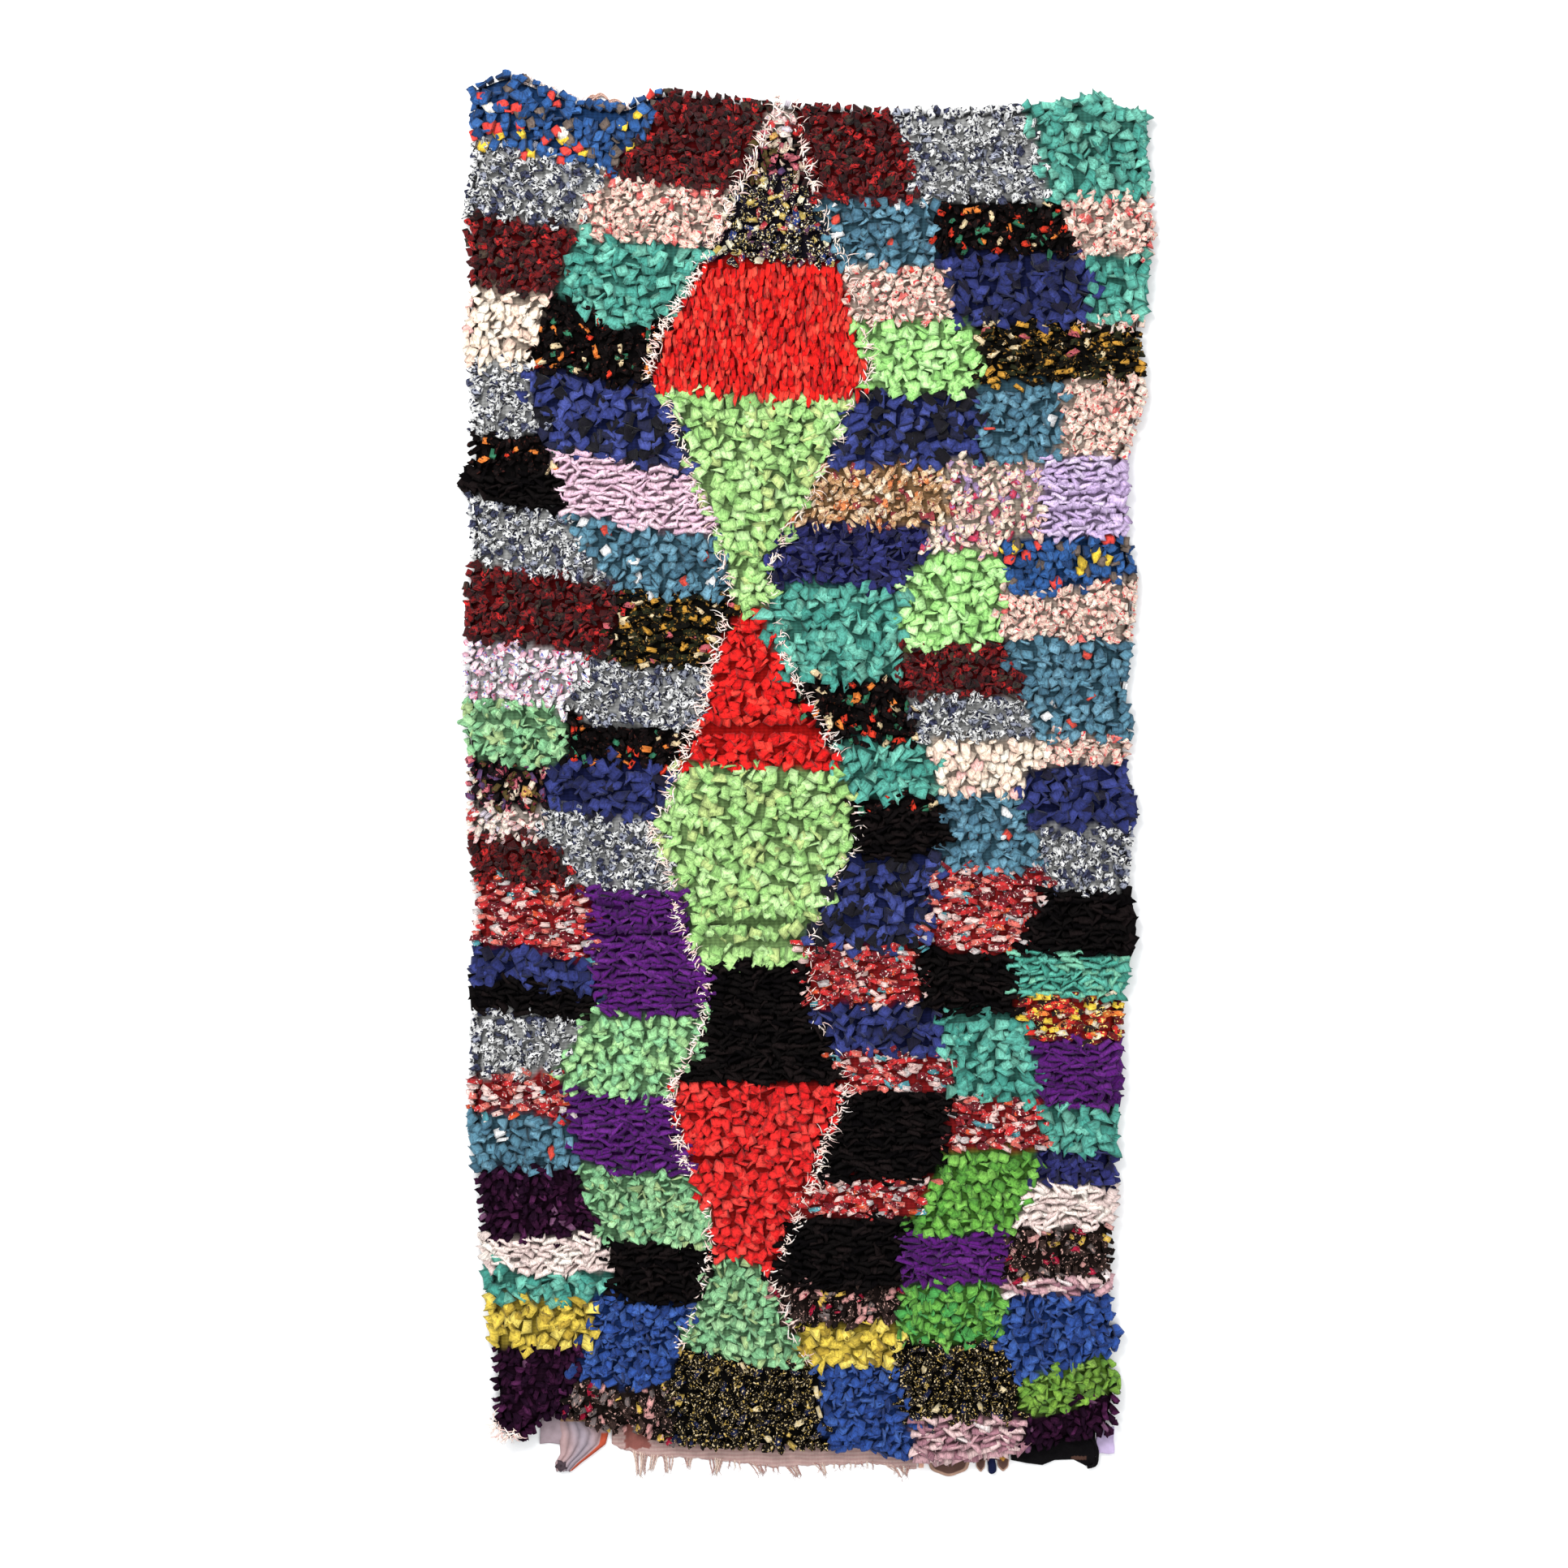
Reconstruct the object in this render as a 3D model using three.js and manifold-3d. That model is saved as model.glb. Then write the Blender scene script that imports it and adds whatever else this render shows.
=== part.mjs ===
import * as THREE from 'three';
import { mergeVertices } from 'three/addons/utils/BufferGeometryUtils.js';
import Module from 'manifold-3d';

// A boucherouite rug: a rag-pile rug that lies flat, with an uneven outline. The pile is one
// lumpy slab with locks of rag at its rim. Below its lower edge lie a flat-woven end with
// warp fringe, and a few loose rags. A few warp loops show at its upper edge.
// Millimetres. +X is across the rug, +Y is along it, and Z = 0 is the floor it lies on.
// The tables give the outline in centimetres.

const CM = 10;

const PILE_HEIGHT = 23;
const LUMP_HEIGHT = 3.2;
const SWELL = { height: 1.5, lengthX: 140, lengthY: 190 };
const RIM_HEIGHT = 9;
const SHOULDER_HEIGHT = 19;
const SHOULDER_WIDTH = 14;
const UNDERCUT = 5;
const CELLS_ACROSS = 30;
const CELLS_ALONG = 60;
const MEAN_TOP = 107.5;
const MEAN_BOTTOM = -107.5;
const UNEVEN = { depth: 4, longWave: 61, shortWave: 23, leftPhase: 1.3, rightPhase: 4.1 };
const REST_PATCH = 300;

const LOCK_REACH = 13;
const LOCK_PITCH = 42;
const LOCK_ROOT = 20;
const LOCK_HALF_WIDTH = { least: 11.6, most: 15.7 };
const LOCK_CREST = { least: 14.5, most: 18.7 };
const LOCK_LEAST_REACH = 7;
const LOCK_TIP_HEIGHT = 6;
const LOCK_SWING = 0.35;

const PART_GAP = 0.4;
const WEB_THICKNESS = 3.4;
const OVER_WEB = 4.4;
const SHELF_DEPTH = 18;
const STRAND_WIDTH = 4.2;
const STRAND_HEIGHT = 3.2;
const STRAND_ROOT = 3;
const STRAND_TIP = 0.55;
const TIP_SPACING = 3;
const MERGE_DISTANCE = 1e-4;

// How far the pile reaches to each side at a height up the rug.
const SIDE_EDGES = [
  { y: 110, left: -53.5, right: 54.6 },
  { y: 100, left: -53.0, right: 54.8 },
  { y: 93, left: -53.6, right: 55.5 },
  { y: 86, left: -54.0, right: 56.5 },
  { y: 80, left: -54.0, right: 55.2 },
  { y: 70, left: -54.5, right: 54.3 },
  { y: 60, left: -53.5, right: 55.0 },
  { y: 50, left: -53.5, right: 51.9 },
  { y: 45, left: -55.3, right: 52.1 },
  { y: 38, left: -53.5, right: 51.8 },
  { y: 31, left: -54.4, right: 53.8 },
  { y: 20, left: -54.2, right: 52.6 },
  { y: 9, left: -54.6, right: 51.6 },
  { y: 0, left: -53.8, right: 52.1 },
  { y: -5, left: -54.0, right: 53.3 },
  { y: -18, left: -52.8, right: 52.2 },
  { y: -26, left: -52.9, right: 53.2 },
  { y: -36, left: -53.2, right: 51.2 },
  { y: -50, left: -53.6, right: 50.9 },
  { y: -56, left: -53.8, right: 50.4 },
  { y: -70, left: -52.3, right: 49.9 },
  { y: -80, left: -51.2, right: 49.4 },
  { y: -91, left: -50.2, right: 51.0 },
  { y: -95, left: -49.9, right: 49.2 },
  { y: -98, left: -49.8, right: 51.0 },
  { y: -106, left: -49.5, right: 49.0 },
];

const TOP_EDGE = [
  { x: -53.5, y: 110.0 },
  { x: -47.5, y: 112.3 },
  { x: -42.0, y: 110.3 },
  { x: -36.0, y: 107.8 },
  { x: -28.5, y: 107.0 },
  { x: -24.0, y: 109.2 },
  { x: -20.0, y: 109.4 },
  { x: -10.0, y: 108.0 },
  { x: 0.0, y: 107.2 },
  { x: 10.0, y: 106.6 },
  { x: 20.0, y: 106.3 },
  { x: 30.0, y: 106.6 },
  { x: 40.0, y: 107.3 },
  { x: 48.0, y: 108.6 },
  { x: 50.0, y: 106.6 },
  { x: 55.0, y: 105.6 },
];

// The slab's own lower edge. The locks there reach further, over the woven end.
const BOTTOM_EDGE = [
  { x: -49.5, y: -103.0 },
  { x: -46.5, y: -106.4 },
  { x: -44.0, y: -106.4 },
  { x: -42.0, y: -103.6 },
  { x: -38.0, y: -102.8 },
  { x: -34.5, y: -103.3 },
  { x: -32.0, y: -105.2 },
  { x: -29.0, y: -105.0 },
  { x: -25.0, y: -106.0 },
  { x: -22.0, y: -107.2 },
  { x: -15.0, y: -108.2 },
  { x: -8.0, y: -108.4 },
  { x: 0.0, y: -108.2 },
  { x: 5.0, y: -107.8 },
  { x: 11.0, y: -108.3 },
  { x: 14.0, y: -109.2 },
  { x: 22.0, y: -109.6 },
  { x: 27.0, y: -109.4 },
  { x: 33.0, y: -108.4 },
  { x: 38.0, y: -107.4 },
  { x: 44.0, y: -106.6 },
  { x: 50.0, y: -105.6 },
];

// Where the pile parts between two rows of knots.
const FURROWS = [
  { y: 7.0, from: -16, to: 4, depth: 5 },
  { y: -25.0, from: -17, to: 1, depth: 6 },
  { y: -61.5, from: -18, to: -11, depth: 4 },
  { y: -21.5, from: -35, to: -27, depth: 4 },
  { y: 8.5, from: -52, to: -39, depth: 3 },
];

// The lower edge of the flat-woven end.
const WEB_EDGE = [
  { x: -30.8, y: -108.2 },
  { x: -28.5, y: -109.2 },
  { x: -25.0, y: -110.2 },
  { x: -20.0, y: -110.3 },
  { x: -15.0, y: -110.6 },
  { x: -10.0, y: -111.2 },
  { x: -5.0, y: -111.9 },
  { x: 0.0, y: -111.6 },
  { x: 5.0, y: -111.5 },
  { x: 11.0, y: -111.2 },
  { x: 14.0, y: -111.8 },
  { x: 18.2, y: -112.2 },
];

// Bunches of warp fringe: where a bunch leaves the woven end, and where it comes to its tip.
const FRINGE = [
  { from: -27.6, to: -24.9, tipX: -26.3, tipY: -113.4, strands: 5 },
  { from: -24.5, to: -23.2, tipX: -24.4, tipY: -112.5, strands: 2 },
  { from: -22.8, to: -20.9, tipX: -21.8, tipY: -113.1, strands: 3 },
  { from: -19.4, to: -17.4, tipX: -18.5, tipY: -112.1, strands: 3 },
  { from: -15.3, to: -12.7, tipX: -14.2, tipY: -113.2, strands: 4 },
  { from: -9.2, to: -6.9, tipX: -6.7, tipY: -113.5, strands: 4 },
  { from: -3.2, to: -1.0, tipX: -0.9, tipY: -113.9, strands: 4 },
  { from: 1.2, to: 3.6, tipX: 3.2, tipY: -113.2, strands: 4 },
  { from: 12.6, to: 17.4, tipX: 16.0, tipY: -113.7, strands: 7 },
];
const FRAYS = [
  { from: -12.2, to: -9.8, ends: 3, reach: 7 },
  { from: -6.2, to: -3.8, ends: 3, reach: 6 },
  { from: 4.4, to: 11.6, ends: 8, reach: 5 },
];

// The grey rag lies flat at its left, and is gathered into a tail at its right.
const TAIL_FLAP = [
  { x: -37.5, y: -108.3 },
  { x: -42.4, y: -108.2 },
];
const TAIL_ROWS = [
  { y: -104.6, left: -39.6, right: -32.9, crest: 3.6 },
  { y: -106.4, left: -39.4, right: -31.4, crest: 5.5 },
  { y: -108.2, left: -39.3, right: -31.9, crest: 8.0 },
  { y: -109.8, left: -39.2, right: -34.0, crest: 9.0 },
  { y: -111.2, left: -40.0, right: -35.8, crest: 8.0 },
  { y: -112.4, left: -39.8, right: -37.2, crest: 6.5 },
];
const TAIL_PLEATS = { count: 5, valley: 0.62, sideHeight: 2.4 };
const TAIL_KNOT = { x: -38.9, y: -111.8, length: 21, width: 26, height: 13 };

// The black rag along the lower edge, and its turned-down right end.
const BLACK_RAG = [
  { x: 33.4, low: -110.8, crest: 5.5 },
  { x: 36.0, low: -111.3, crest: 7.0 },
  { x: 38.4, low: -111.6, crest: 7.5 },
  { x: 40.4, low: -110.8, crest: 6.0 },
  { x: 43.4, low: -110.7, crest: 5.0 },
  { x: 45.4, low: -111.7, crest: 6.0 },
  { x: 46.8, low: -111.4, crest: 8.0 },
];

const LILAC_TAB = { left: 47.1, right: 50.0, low: -109.7, thickness: 2.0, curl: 4.0 };

const BROWN_LOBES = [
  { x: 23.4, reachX: 3.5, reachY: 2.9, crest: 4.0 },
  { x: 28.5, reachX: 0.8, reachY: 2.0, crest: 4.0 },
  { x: 32.1, reachX: 1.0, reachY: 1.9, crest: 4.0 },
];
const BROWN_BACKING = { from: 18.7, to: 33.1, depth: 5 };
const NAVY_END = { x: 30.3, halfWidth: 0.7, low: -113.0, crest: 9.0 };

const TOP_LOOPS = [
  { from: -35.2, to: -32.6, rise: 14 },
  { from: -34.4, to: -31.0, rise: 18 },
  { from: -32.4, to: -28.6, rise: 11 },
];
const TOP_BACKING = { from: -35.8, to: -27.8, depth: 5 };

const wasm = await Module();
wasm.setup();

function makeRandom(seed) {
  let state = seed;
  return function random() {
    state = (state * 1664525 + 1013904223) % 4294967296;
    return state / 4294967296;
  };
}

function lerp(a, b, t) {
  return a + (b - a) * t;
}

// Reads a table between its rows, in the table's own units.
function readTable(rows, key, at, column) {
  const rising = rows[rows.length - 1][key] > rows[0][key];
  const ordered = rising ? rows : [...rows].reverse();
  const last = ordered.length - 1;
  if (at <= ordered[0][key]) return ordered[0][column];
  if (at >= ordered[last][key]) return ordered[last][column];
  const next = ordered.findIndex((row) => row[key] > at);
  const a = ordered[next - 1];
  const b = ordered[next];
  return lerp(a[column], b[column], (at - a[key]) / (b[key] - a[key]));
}

function between(random, least, most) {
  return lerp(least, most, random());
}

function unevenness(t, phase) {
  const slow = Math.sin(t / UNEVEN.longWave + phase);
  const quick = Math.sin(t / UNEVEN.shortWave + 2 * phase);
  return UNEVEN.depth * lerp(slow, quick, 0.4);
}

// The slab's plan: u runs across the rug and v runs up it, both from 0 to 1.
function leftEdge(y) {
  return CM * readTable(SIDE_EDGES, 'y', y / CM, 'left') + LOCK_REACH + unevenness(y, UNEVEN.leftPhase);
}

function rightEdge(y) {
  return CM * readTable(SIDE_EDGES, 'y', y / CM, 'right') - LOCK_REACH + unevenness(y, UNEVEN.rightPhase);
}

function topEdge(x) {
  return CM * readTable(TOP_EDGE, 'x', x / CM, 'y') - LOCK_REACH;
}

function bottomEdge(x) {
  return CM * readTable(BOTTOM_EDGE, 'x', x / CM, 'y');
}

function planPoint(u, v) {
  const roughY = CM * lerp(MEAN_BOTTOM, MEAN_TOP, v);
  const roughX = lerp(leftEdge(roughY), rightEdge(roughY), u);
  const y = lerp(bottomEdge(roughX), topEdge(roughX), v);
  const x = lerp(leftEdge(y), rightEdge(y), u);
  return { x, y };
}

// Even steps from 0 to 1 with one narrow step at each end for the rounded shoulder.
function stations(cells, shoulder) {
  const list = [0];
  for (let i = 0; i <= cells - 2; i += 1) {
    list.push(lerp(shoulder, 1 - shoulder, i / (cells - 2)));
  }
  list.push(1);
  return list;
}

const RUG_WIDTH = CM * (readTable(SIDE_EDGES, 'y', 0, 'right') - readTable(SIDE_EDGES, 'y', 0, 'left'));
const RUG_LENGTH = CM * (MEAN_TOP - MEAN_BOTTOM);
const ACROSS = stations(CELLS_ACROSS, SHOULDER_WIDTH / RUG_WIDTH);
const ALONG = stations(CELLS_ALONG, SHOULDER_WIDTH / RUG_LENGTH);

function furrowDepth(x, y) {
  const rowStep = RUG_LENGTH / CELLS_ALONG;
  let depth = 0;
  for (const furrow of FURROWS) {
    const inRow = Math.abs(y - CM * furrow.y) <= rowStep / 2;
    const inSpan = x > CM * furrow.from && x < CM * furrow.to;
    if (inRow && inSpan) depth = furrow.depth;
  }
  return depth;
}

function pileHeight(x, y, random) {
  const lump = LUMP_HEIGHT * (2 * random() - 1);
  const swell = SWELL.height * Math.sin(x / SWELL.lengthX + 1) * Math.cos(y / SWELL.lengthY);
  return PILE_HEIGHT + lump + swell - furrowDepth(x, y);
}

function solidFrom(points, faces) {
  const geometry = new THREE.BufferGeometry();
  geometry.setAttribute('position', new THREE.Float32BufferAttribute(points.flat(), 3));
  geometry.setIndex(faces.flat());
  return toManifold(geometry);
}

function toManifold(geometry) {
  const bare = geometry.clone();
  bare.deleteAttribute('normal');
  bare.deleteAttribute('uv');
  const merged = mergeVertices(bare, MERGE_DISTANCE);
  const mesh = new wasm.Mesh({
    numProp: 3,
    vertProperties: new Float32Array(merged.attributes.position.array),
    triVerts: new Uint32Array(merged.index.array),
  });
  return new wasm.Manifold(mesh);
}

function toGeometry(solid) {
  const mesh = solid.getMesh();
  const geometry = new THREE.BufferGeometry();
  geometry.setAttribute('position', new THREE.BufferAttribute(mesh.vertProperties, 3));
  geometry.setIndex(new THREE.BufferAttribute(mesh.triVerts, 1));
  return geometry;
}

function joinAll(solids) {
  return solids.reduce((whole, next) => whole.add(next));
}

// A grid of points whose faces look up, or down when flipped.
function gridFaces(columns, rows, indexOf, flipped) {
  const faces = [];
  for (let j = 0; j < rows - 1; j += 1) {
    for (let i = 0; i < columns - 1; i += 1) {
      const a = indexOf(i, j);
      const b = indexOf(i + 1, j);
      const c = indexOf(i + 1, j + 1);
      const d = indexOf(i, j + 1);
      const pair = (i + j) % 2 === 0 ? [[a, b, c], [a, c, d]] : [[a, b, d], [b, c, d]];
      faces.push(...(flipped ? pair.map((f) => [f[0], f[2], f[1]]) : pair));
    }
  }
  return faces;
}

// The rim of a grid as a loop of [column, row], counter-clockwise from above.
function rimLoop(columns, rows) {
  const loop = [];
  for (let i = 0; i < columns - 1; i += 1) loop.push([i, 0]);
  for (let j = 0; j < rows - 1; j += 1) loop.push([columns - 1, j]);
  for (let i = columns - 1; i > 0; i -= 1) loop.push([i, rows - 1]);
  for (let j = rows - 1; j > 0; j -= 1) loop.push([0, j]);
  return loop;
}

// Closes the bottom of a solid: a ring of faces from the outer loop to a square at the middle.
function undersideFaces(points, loop, first) {
  const half = REST_PATCH / 2;
  const corners = [[-half, -half], [half, -half], [half, half], [-half, half]];
  const outline = loop.map((index) => new THREE.Vector2(points[index][0], points[index][1]));
  const hole = corners.map(([x, y]) => new THREE.Vector2(x, y)).reverse();
  corners.forEach(([x, y]) => points.push([x, y, 0]));
  const holeIndex = [first + 3, first + 2, first + 1, first];
  const order = [...loop, ...holeIndex];
  const ring = THREE.ShapeUtils.triangulateShape(outline, [hole]);
  const faces = ring.map(([a, b, c]) => facingDown(points, order[a], order[b], order[c]));
  faces.push([first, first + 2, first + 1], [first, first + 3, first + 2]);
  return faces;
}

function facingDown(points, a, b, c) {
  const [ax, ay] = points[a];
  const [bx, by] = points[b];
  const [cx, cy] = points[c];
  const turn = (bx - ax) * (cy - ay) - (by - ay) * (cx - ax);
  return turn < 0 ? [a, b, c] : [a, c, b];
}

function pileSlab(random) {
  const columns = ACROSS.length;
  const rows = ALONG.length;
  const indexOf = (i, j) => j * columns + i;
  const points = [];
  for (let j = 0; j < rows; j += 1) {
    for (let i = 0; i < columns; i += 1) {
      const { x, y } = planPoint(ACROSS[i], ALONG[j]);
      const ring = Math.min(i, j, columns - 1 - i, rows - 1 - j);
      const full = pileHeight(x, y, random);
      const heights = [RIM_HEIGHT, SHOULDER_HEIGHT + full - PILE_HEIGHT, full];
      points.push([x, y, heights[Math.min(ring, heights.length - 1)]]);
    }
  }
  const faces = gridFaces(columns, rows, indexOf, false);
  const rim = rimLoop(columns, rows);
  const floorStart = points.length;
  for (const [i, j] of rim) {
    const [x, y] = points[indexOf(i, j)];
    const inwardX = i === 0 ? UNDERCUT : i === columns - 1 ? -UNDERCUT : 0;
    const inwardY = j === rows - 1 ? -UNDERCUT : 0;
    points.push([x + inwardX, y + inwardY, 0]);
  }
  rim.forEach(([i, j], k) => {
    const next = (k + 1) % rim.length;
    const upper = indexOf(i, j);
    const upperNext = indexOf(...rim[next]);
    faces.push([floorStart + k, floorStart + next, upperNext]);
    faces.push([floorStart + k, upperNext, upper]);
  });
  const floorLoop = rim.map((_, k) => floorStart + k);
  faces.push(...undersideFaces(points, floorLoop, points.length));
  return solidFrom(points, faces);
}

// A tapered bar with four sides. Each section has its centre, half widths and heights.
function fourSided(sections, angle) {
  const side = [-Math.sin(angle), Math.cos(angle)];
  const points = [];
  for (const s of sections) {
    const corners = [
      [-s.half, s.low],
      [s.half, s.low],
      [s.half * s.narrowing, s.high],
      [-s.half * s.narrowing, s.high],
    ];
    for (const [across, z] of corners) {
      points.push([s.x + side[0] * across, s.y + side[1] * across, z]);
    }
  }
  const faces = [];
  const last = 4 * (sections.length - 1);
  for (let base = 0; base < last; base += 4) {
    for (let k = 0; k < 4; k += 1) {
      const next = (k + 1) % 4;
      faces.push([base + k, base + 4 + k, base + 4 + next]);
      faces.push([base + k, base + 4 + next, base + next]);
    }
  }
  faces.push([0, 1, 2], [0, 2, 3], [last, last + 2, last + 1], [last, last + 3, last + 2]);
  const flipped = faces.map(([a, b, c]) => [a, c, b]);
  return solidFrom(points, flipped);
}

// One lock of rag that leans out over the rim, with its underside at the given height.
function rimLock(x, y, angle, low, random) {
  const heading = angle + between(random, -LOCK_SWING, LOCK_SWING);
  const reach = between(random, LOCK_LEAST_REACH, LOCK_REACH);
  const half = between(random, LOCK_HALF_WIDTH.least, LOCK_HALF_WIDTH.most);
  const crest = between(random, LOCK_CREST.least, LOCK_CREST.most);
  const stepX = Math.cos(heading);
  const stepY = Math.sin(heading);
  const stops = [
    { along: -LOCK_ROOT, half, high: crest, narrowing: 0.8 },
    { along: 0.35 * reach, half: 0.95 * half, high: 0.75 * crest + low, narrowing: 0.7 },
    { along: reach, half: 0.55 * half, high: LOCK_TIP_HEIGHT + low, narrowing: 0.6 },
  ];
  const sections = stops.map((stop) => ({
    ...stop,
    x: x + stepX * stop.along,
    y: y + stepY * stop.along,
    low,
  }));
  return fourSided(sections, heading);
}

function rimLocks(random) {
  const locks = [];
  const place = (u, v, angle, low) => {
    const { x, y } = planPoint(u, v);
    locks.push(rimLock(x, y, angle, low, random));
  };
  const spot = (k, count) => (k + between(random, 0.3, 0.7)) / count;
  const sideCount = Math.round(RUG_LENGTH / LOCK_PITCH);
  const endCount = Math.round(RUG_WIDTH / LOCK_PITCH);
  for (let k = 0; k < sideCount; k += 1) {
    place(0, spot(k, sideCount), Math.PI, 0);
    place(1, spot(k, sideCount), 0, 0);
  }
  for (let k = 0; k < endCount; k += 1) {
    const u = spot(k, endCount);
    const { x } = planPoint(u, 1);
    const overLoops = x > CM * TOP_BACKING.from - LOCK_PITCH && x < CM * TOP_BACKING.to + LOCK_PITCH;
    place(u, 1, Math.PI / 2, overLoops ? OVER_WEB : 0);
    place(spot(k, endCount), 0, -Math.PI / 2, OVER_WEB);
  }
  return locks;
}

// The slab's lower or upper edge between two places, moved off it by a gap. The upper edge
// is undercut, so it is taken at the height of the woven backing.
function slabEdgeRun(v, from, to, away) {
  const inset = v === 1 ? -UNDERCUT * (1 - WEB_THICKNESS / RIM_HEIGHT) : 0;
  const edge = ACROSS.map((u) => planPoint(u, v)).map((p) => ({ x: p.x, y: p.y + inset }));
  const at = (x) => readTable(edge, 'x', x, 'y') + away;
  const inside = edge.filter((p) => p.x > from + 1 && p.x < to - 1);
  return [
    { x: from, y: at(from) },
    ...inside.map((p) => ({ x: p.x, y: p.y + away })),
    { x: to, y: at(to) },
  ];
}

function plate(outline, thickness) {
  const shape = new THREE.Shape(outline.map((p) => new THREE.Vector2(p.x, p.y)));
  return toManifold(new THREE.ExtrudeGeometry(shape, { depth: thickness, bevelEnabled: false }));
}

function strand(points, width, taper) {
  const last = points.length - 1;
  const angle = Math.atan2(points[last].y - points[0].y, points[last].x - points[0].x);
  const sections = points.map((p, k) => {
    const thin = lerp(1, taper, k / last);
    return { x: p.x, y: p.y, half: (width / 2) * thin, low: 0, high: STRAND_HEIGHT * thin, narrowing: 0.6 };
  });
  return fourSided(sections, angle);
}

function webEdgeY(x) {
  return CM * readTable(WEB_EDGE, 'x', x / CM, 'y');
}

function fringeStrand(bunch, k, random) {
  const t = (k + 0.5) / bunch.strands;
  const rootX = CM * lerp(bunch.from, bunch.to, t);
  const tipX = CM * bunch.tipX + TIP_SPACING * (k - (bunch.strands - 1) / 2);
  const shorter = 9 * Math.abs(t - 0.5) + between(random, 0, 3);
  const tipY = CM * bunch.tipY + shorter;
  const route = [
    { x: rootX, y: webEdgeY(rootX) + STRAND_ROOT },
    { x: lerp(rootX, tipX, 0.35), y: lerp(webEdgeY(rootX), tipY, 0.45) },
    { x: tipX, y: tipY },
  ];
  return strand(route, STRAND_WIDTH, STRAND_TIP);
}

function frayedEnd(fray, k, random) {
  const rootX = CM * lerp(fray.from, fray.to, (k + 0.5) / fray.ends);
  const tipX = rootX + between(random, -1.5, 1.5);
  const tipY = webEdgeY(rootX) - fray.reach * between(random, 0.7, 1.2);
  const route = [
    { x: rootX, y: webEdgeY(rootX) + STRAND_ROOT },
    { x: tipX, y: tipY },
  ];
  return strand(route, STRAND_WIDTH, STRAND_TIP);
}

function endWeb(random) {
  const upper = slabEdgeRun(0, CM * WEB_EDGE[0].x, CM * WEB_EDGE[WEB_EDGE.length - 1].x, -PART_GAP);
  const lower = WEB_EDGE.map((row) => ({ x: CM * row.x, y: CM * row.y })).reverse();
  const strands = [];
  for (const bunch of FRINGE) {
    for (let k = 0; k < bunch.strands; k += 1) strands.push(fringeStrand(bunch, k, random));
  }
  for (const fray of FRAYS) {
    for (let k = 0; k < fray.ends; k += 1) strands.push(frayedEnd(fray, k, random));
  }
  return joinAll([plate([...upper, ...lower], WEB_THICKNESS), ...strands]);
}

// A cloth that lies on the floor, closed below. Each row gives its points from left to right.
function reliefSolid(rows) {
  const columns = rows[0].length;
  const top = rows.flat();
  const points = [...top, ...top.map(([x, y]) => [x, y, 0])];
  const below = top.length;
  const indexOf = (i, j) => j * columns + i;
  const faces = gridFaces(columns, rows.length, indexOf, false);
  faces.push(...gridFaces(columns, rows.length, (i, j) => below + indexOf(i, j), true));
  const rim = rimLoop(columns, rows.length).map(([i, j]) => indexOf(i, j));
  rim.forEach((a, k) => {
    const b = rim[(k + 1) % rim.length];
    faces.push([below + a, below + b, b], [below + a, b, a]);
  });
  return solidFrom(points, faces);
}

function roundKnot({ x, y, length, width, height }) {
  const ball = new THREE.IcosahedronGeometry(0.5, 1);
  ball.scale(width, length, height);
  ball.translate(CM * x, CM * y, height / 2);
  return toManifold(ball);
}

function greyRag() {
  const upper = slabEdgeRun(0, CM * TAIL_FLAP[1].x + 2, CM * TAIL_ROWS[0].right, -PART_GAP);
  const lower = TAIL_FLAP.map((row) => ({ x: CM * row.x, y: CM * row.y }));
  const flap = plate([...upper, ...lower], WEB_THICKNESS);
  const last = 2 * TAIL_PLEATS.count;
  const rows = [...TAIL_ROWS].reverse().map((row) => {
    const line = [];
    for (let i = 0; i <= last; i += 1) {
      const inner = i % 2 === 1 ? row.crest : TAIL_PLEATS.valley * row.crest;
      const z = i === 0 || i === last ? TAIL_PLEATS.sideHeight : inner;
      line.push([CM * lerp(row.left, row.right, i / last), CM * row.y, z]);
    }
    return line;
  });
  return joinAll([flap, reliefSolid(rows), roundKnot(TAIL_KNOT)]);
}

function blackRag() {
  const first = CM * BLACK_RAG[0].x;
  const last = CM * BLACK_RAG[BLACK_RAG.length - 1].x;
  const upper = slabEdgeRun(0, first, last, -PART_GAP);
  const profile = [
    { across: 0.0, rise: -0.5 },
    { across: 0.3, rise: 0.8 },
    { across: 0.65, rise: 1.0 },
    { across: 1.0, rise: 0.0 },
  ];
  const rows = profile.map((stop) => upper.map((p) => {
    const low = CM * readTable(BLACK_RAG, 'x', p.x / CM, 'low');
    const crest = readTable(BLACK_RAG, 'x', p.x / CM, 'crest');
    const y = lerp(low, p.y - SHELF_DEPTH, stop.across);
    return [p.x, y, WEB_THICKNESS + stop.rise * (crest - WEB_THICKNESS)];
  }));
  rows.push(upper.map((p) => [p.x, p.y, WEB_THICKNESS]));
  return reliefSolid(rows);
}

function lilacTab() {
  const tab = LILAC_TAB;
  const upper = slabEdgeRun(0, CM * tab.left, CM * tab.right, -PART_GAP);
  const steps = 4;
  const rows = [];
  for (let j = 0; j <= steps; j += 1) {
    const t = 1 - j / steps;
    const lift = tab.curl * t ** 3;
    rows.push(upper.map((p) => [p.x, lerp(p.y, CM * tab.low, t), tab.thickness + lift]));
  }
  return reliefSolid(rows);
}

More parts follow.
